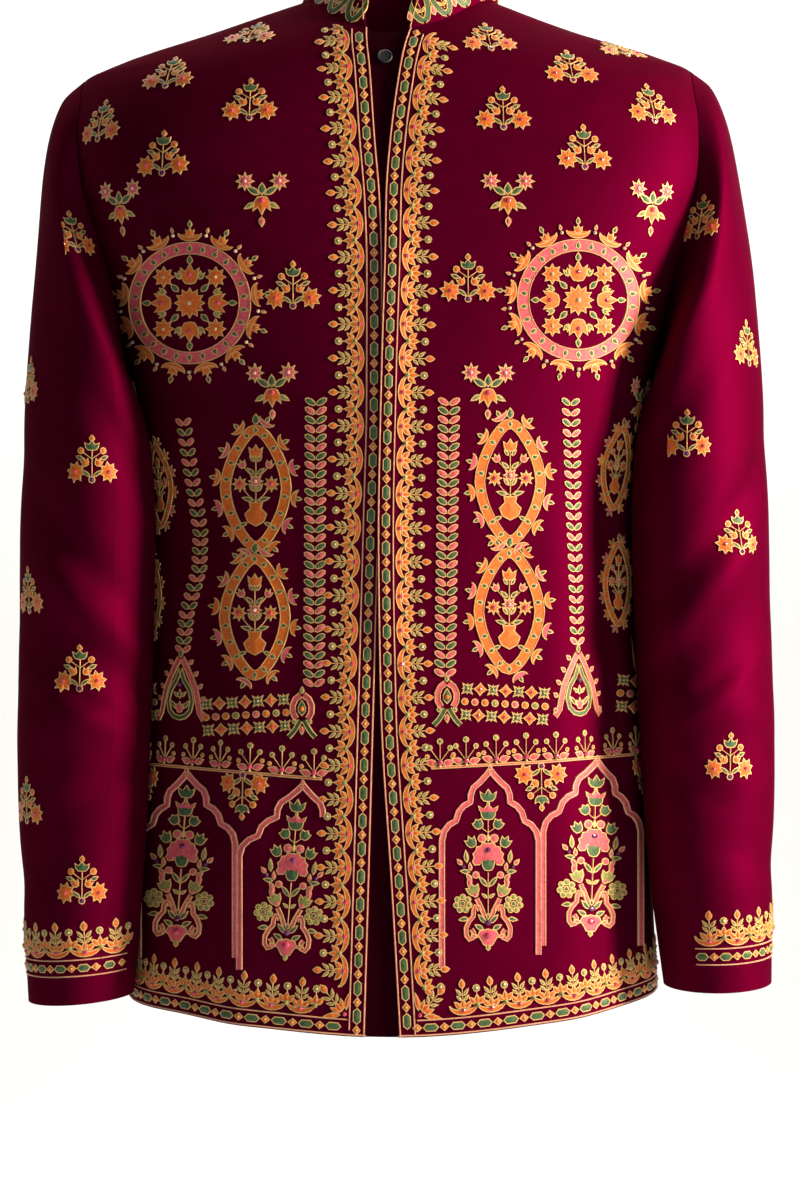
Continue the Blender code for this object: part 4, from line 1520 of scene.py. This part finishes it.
rosette, pendant, plant = rosetteMotif(), pendantMotif(), plantMotif()
medallionParts = medallionMotif()
arches = {
    "whole": archMotif("arch"),
    "long": archMotif("longArch", rightLow=9.0),
    "wide": archMotif("wideArch", leftWide=0.90, rightWide=1.12),
    "short": archMotif("shortArch", leftWide=1.32, whole=False),
}
stalks, finial, palmette = stalksMotif(), finialMotif(), palmetteMotif()
floretRows, floretEnd = floretRowsMotif("floretRows", 7), floretRowsMotif("floretEnd", 3)
chevrons = [chevronMotif("pinkChevron", pink), chevronMotif("greenChevron", green)]

# the middles of the larger designs in the photograph, on the two fronts
fronts = {
    "frontRight": {
        "flip": False,
        "rosette": (190, 303),
        "pendants": [(120, 205), (126, 404), (262, 196), (272, 388)],
        "medallions": [(256, 488), (255, 617)],
        "sideMedallions": [(160, 486), (153, 596)],
        "florets": [(247, 728, floretRows), (140, 716, floretEnd)],
        "finials": [(302, 724, finial), (180, 702, palmette)],
        "line": [(138, 763), (228, 771), (322, 779)],
        "stalks": [(146, 762), (165, 763), (193, 765), (220, 768), (250, 771), (282, 774), (314, 777)],
        "arches": [(187, 773, "whole"), (303, 785, "short")],
        "inverted": [(147, 768), (243, 775)],
        "plants": [(176, 947, -4.0), (285, 961, -4.6)],
        "innerColumn": [(314, 686), (316, 405)],
        "outerColumn": [(183, 652), (187, 618), (200, 572), (201, 536), (184, 425)],
    },
    "frontLeft": {
        "flip": True,
        "rosette": (578, 300),
        "pendants": [(508, 196), (652, 205), (488, 388), (640, 402)],
        "medallions": [(510, 482), (509, 611)],
        "sideMedallions": [(616, 468), (618, 584)],
        "florets": [(504, 717, floretRows), (634, 707, floretEnd)],
        "finials": [(447, 712, finial), (579, 698, palmette)],
        "line": [(431, 768), (540, 762), (650, 753)],
        "stalks": [
            (440, 767), (466, 765), (496, 763), (526, 761), (556, 760), (585, 758), (613, 755), (636, 753),
        ],
        "arches": [(490, 770, "long"), (597, 761, "wide")],
        "inverted": [(541, 766), (642, 757)],
        "plants": [(488, 951, 0.0), (589.5, 937, -2.2)],
        "innerColumn": [(445, 676), (449, 405)],
        "outerColumn": [(577, 644), (570, 405)],
    },
}
# the size and the pitch in pixels of the leaf pairs
columnLook = {"innerColumn": (1.0, 9.3), "outerColumn": (0.95, 10.4)}
frontLook = {
    "rosetteSize": 0.87,
    "pendantSize": 1.25,
    "medallionSize": 1.02,
    "sideSize": 0.72,
    "floretTurn": 3.5,
    "lineWidth": 1.3,
}

for key, places in fronts.items():
    work, flip = works[key], places["flip"]
    work.layout(rosette, *onBoard(places["rosette"]), flip=flip, size=frontLook["rosetteSize"])
    for place in places["pendants"]:
        work.spot(pendant, *onBoard(place), size=frontLook["pendantSize"])
    for part in medallionParts:
        for place in places["medallions"]:
            work.layout(part, *onBoard(place), flip=flip, size=frontLook["medallionSize"])
        for place in places["sideMedallions"]:
            work.spot(part, *onBoard(place), size=frontLook["sideSize"])
    lean = -frontLook["floretTurn"] if flip else frontLook["floretTurn"]
    for px, py, rows in places["florets"]:
        work.layout(rows, *onBoard((px, py)), turn=lean)
    for px, py, kind in places["finials"]:
        work.spot(kind, *onBoard((px, py)))
    line = [onBoard(place) for place in places["line"]]
    x, z = line[1]
    cord = Motif(f"{key}Line")
    cord.ribbon([((px - x) / mm, (pz - z) / mm) for px, pz in line], frontLook["lineWidth"])
    work.layout(cord, x, z)
    for place in places["stalks"]:
        work.spot(stalks, *onBoard(place))
    for px, py, kind in places["arches"]:
        work.layout(arches[kind], *onBoard((px, py)), flip=flip)
    for place in places["inverted"]:
        work.spot(buti, *onBoard(place), turn=180)
    for px, py, lean in places["plants"]:
        work.layout(plant, *onBoard((px, py)), flip=flip, turn=lean)
    for column, (size, pitch) in columnLook.items():
        for i, place in enumerate(finer(places[column], pitch)):
            work.spot(chevrons[i % 2], *onBoard(place), size=size)

# the collar's row of open lotus petals, with a pair of pink buds between them; its cords are
# given by height, start, end and width
collarLook = {
    "blade": [(0.2, 1.6), (3.0, 3.0), (5.4, 6.8), (7.2, 12.4), (7.8, 18.6), (5.6, 23.6)],
    "pitch": 0.0197,
    "foot": 0.0012,
    "ends": 0.003,
    "topCord": (0.0358, 0.008, 0.008, 1.0),
    "endCord": (0.0012, 0.006, 0.001, 1.1),
}


def collarPetalMotif():
    made = Motif("collarPetal")
    made.ribbon(collarLook["blade"], 4.2, green)
    made.leaves((0.6, 7.6, -44, 5.4, 2.4, paleGreen), (0.8, 21.0, -40, 9.4, 4.2, orange, -1.4))
    made.mirror()
    made.cord([(0, 5.6), (0, 10.0), (0, 14.6)], 0.8)
    made.leaf(0, 20.4, 0, 10.6, 4.6, orange)
    made.bead(0, 18.0, 1.7, rose, 2)
    return made


collarDrop = Motif("collarDrop")
collarDrop.leaf(0, 3.0, 0, 7.8, 4.4, pink, fullest=0.6)
collarDrop.leaf(0, 21.0, 0, 9.0, 4.2, pink)
collarFoot = Edging(panels["collar"], "hem")
for motif, offset in ((collarPetalMotif(), 0.0), (collarDrop, -0.5)):
    ends = collarLook["ends"]
    works["collar"].run(motif, collarFoot, collarLook["foot"], collarLook["pitch"], ends, ends, offset)
works["collar"].line(collarFoot, *collarLook["topCord"])
for which in ("front", "back"):
    works["collar"].line(Edging(panels["collar"], which), *collarLook["endCord"])

backButis = {"columns": (-0.130, -0.065, 0.0, 0.065, 0.130), "top": -0.085, "bottom": -0.640, "rows": 8}
for row, z in enumerate(np.linspace(backButis["top"], backButis["bottom"], backButis["rows"])):
    for column, x in enumerate(backButis["columns"]):
        if (row + column) % 2 == 0:
            works["back"].spot(buti, x, z)
print("fronts, collar and back embroidered")

stitched = {key: work.wrapOn() for key, work in works.items()}
for key, facts in clothFacts.items():
    onIt = [stitched[key]] if key in stitched else []


# floor, backdrop and lights

studio = {
    "floorHeight": -1.45,
    "wallAt": 3.6,
    "width": 14.0,
    "front": -4.0,
    "top": 4.5,
    "bend": 0.9,
    "bendSteps": 12,
    "roughness": 0.85,
    "colour": (0.86, 0.86, 0.86),
    "air": 0.03,
}

# where each light stands and aims, its width and height, power and colour
lights = {
    "keyLight": ((1.7, -0.56, 0.05), (0.05, 0.0, -0.38), (0.36, 1.0), 67, (1.0, 0.85, 0.62)),
    "fillLight": ((1.1, -2.3, 0.1), (0.0, 0.0, -0.4), (1.2, 1.6), 9.5, (0.97, 0.93, 1.0)),
    "topLight": ((0.3, -0.6, 1.6), (0.0, 0.0, -0.2), (1.6, 1.2), 2.5, (1.0, 1.0, 1.0)),
    "skyLight": ((-1.9, 0.2, 0.3), (-0.1, 0.0, -0.4), (1.2, 1.6), 3, (0.88, 0.90, 1.0)),
    "backLight": ((0.9, 2.3, 0.7), (0.0, 0.0, -0.4), (1.6, 1.6), 9, (1.0, 1.0, 1.0)),
    "paperLight": ((0.0, 1.2, 2.2), (0.0, 3.7, -0.8), (5.0, 1.4), 150, (1.0, 1.0, 1.0)),
}


def studioFloor():
    bm = bmesh.new()
    line = [Vector((0, studio["front"], studio["floorHeight"]))]
    centre = Vector((0, studio["wallAt"] - studio["bend"], studio["floorHeight"] + studio["bend"]))
    for step in range(studio["bendSteps"] + 1):
        a = math.radians(-90 + 90 * step / studio["bendSteps"])
        line.append(centre + studio["bend"] * Vector((0, math.cos(a), math.sin(a))))
    line.append(Vector((0, studio["wallAt"], studio["top"])))
    verts = [bm.verts.new(point - Vector((studio["width"] / 2, 0, 0))) for point in line]
    edges = [bm.edges.new(pair) for pair in zip(verts, verts[1:])]
    made = bmesh.ops.extrude_edge_only(bm, edges=edges)["geom"]
    moved = [item for item in made if isinstance(item, bmesh.types.BMVert)]
    bmesh.ops.translate(bm, verts=moved, vec=(studio["width"], 0, 0))
    bmesh.ops.recalc_face_normals(bm, faces=bm.faces)
    mesh = bpy.data.meshes.new("studioFloor")
    bm.to_mesh(mesh)
    bm.free()
    mesh.shade_smooth()
    look = Finish("studioPaper", studio["colour"], studio["roughness"])
    look.set("Roughness", studio["roughness"] + look.noise(look.ownPlace(), 3.0) * 0.1)
    mesh.materials.append(look.material)
    floor = bpy.data.objects.new("studioFloor", mesh)
    bpy.context.scene.collection.objects.link(floor)


def softLight(name, place, aim, size, power, colour):
    data = bpy.data.lights.new(name, "AREA")
    data.shape = "RECTANGLE"
    data.size, data.size_y = size
    data.energy = power
    data.color = colour
    light = bpy.data.objects.new(name, data)
    light.location = place
    light.rotation_euler = (Vector(aim) - Vector(place)).to_track_quat("-Z", "Y").to_euler()
    bpy.context.scene.collection.objects.link(light)


studioFloor()
for name, settings in lights.items():
    softLight(name, *settings)

world = bpy.data.worlds.new("studioAir")
world.use_nodes = True
air = world.node_tree.nodes["Background"].inputs
air["Color"].default_value = (1.0, 1.0, 1.0, 1.0)
air["Strength"].default_value = studio["air"]
bpy.context.scene.world = world
bpy.context.scene.view_settings.view_transform = "Standard"
print("studio set")
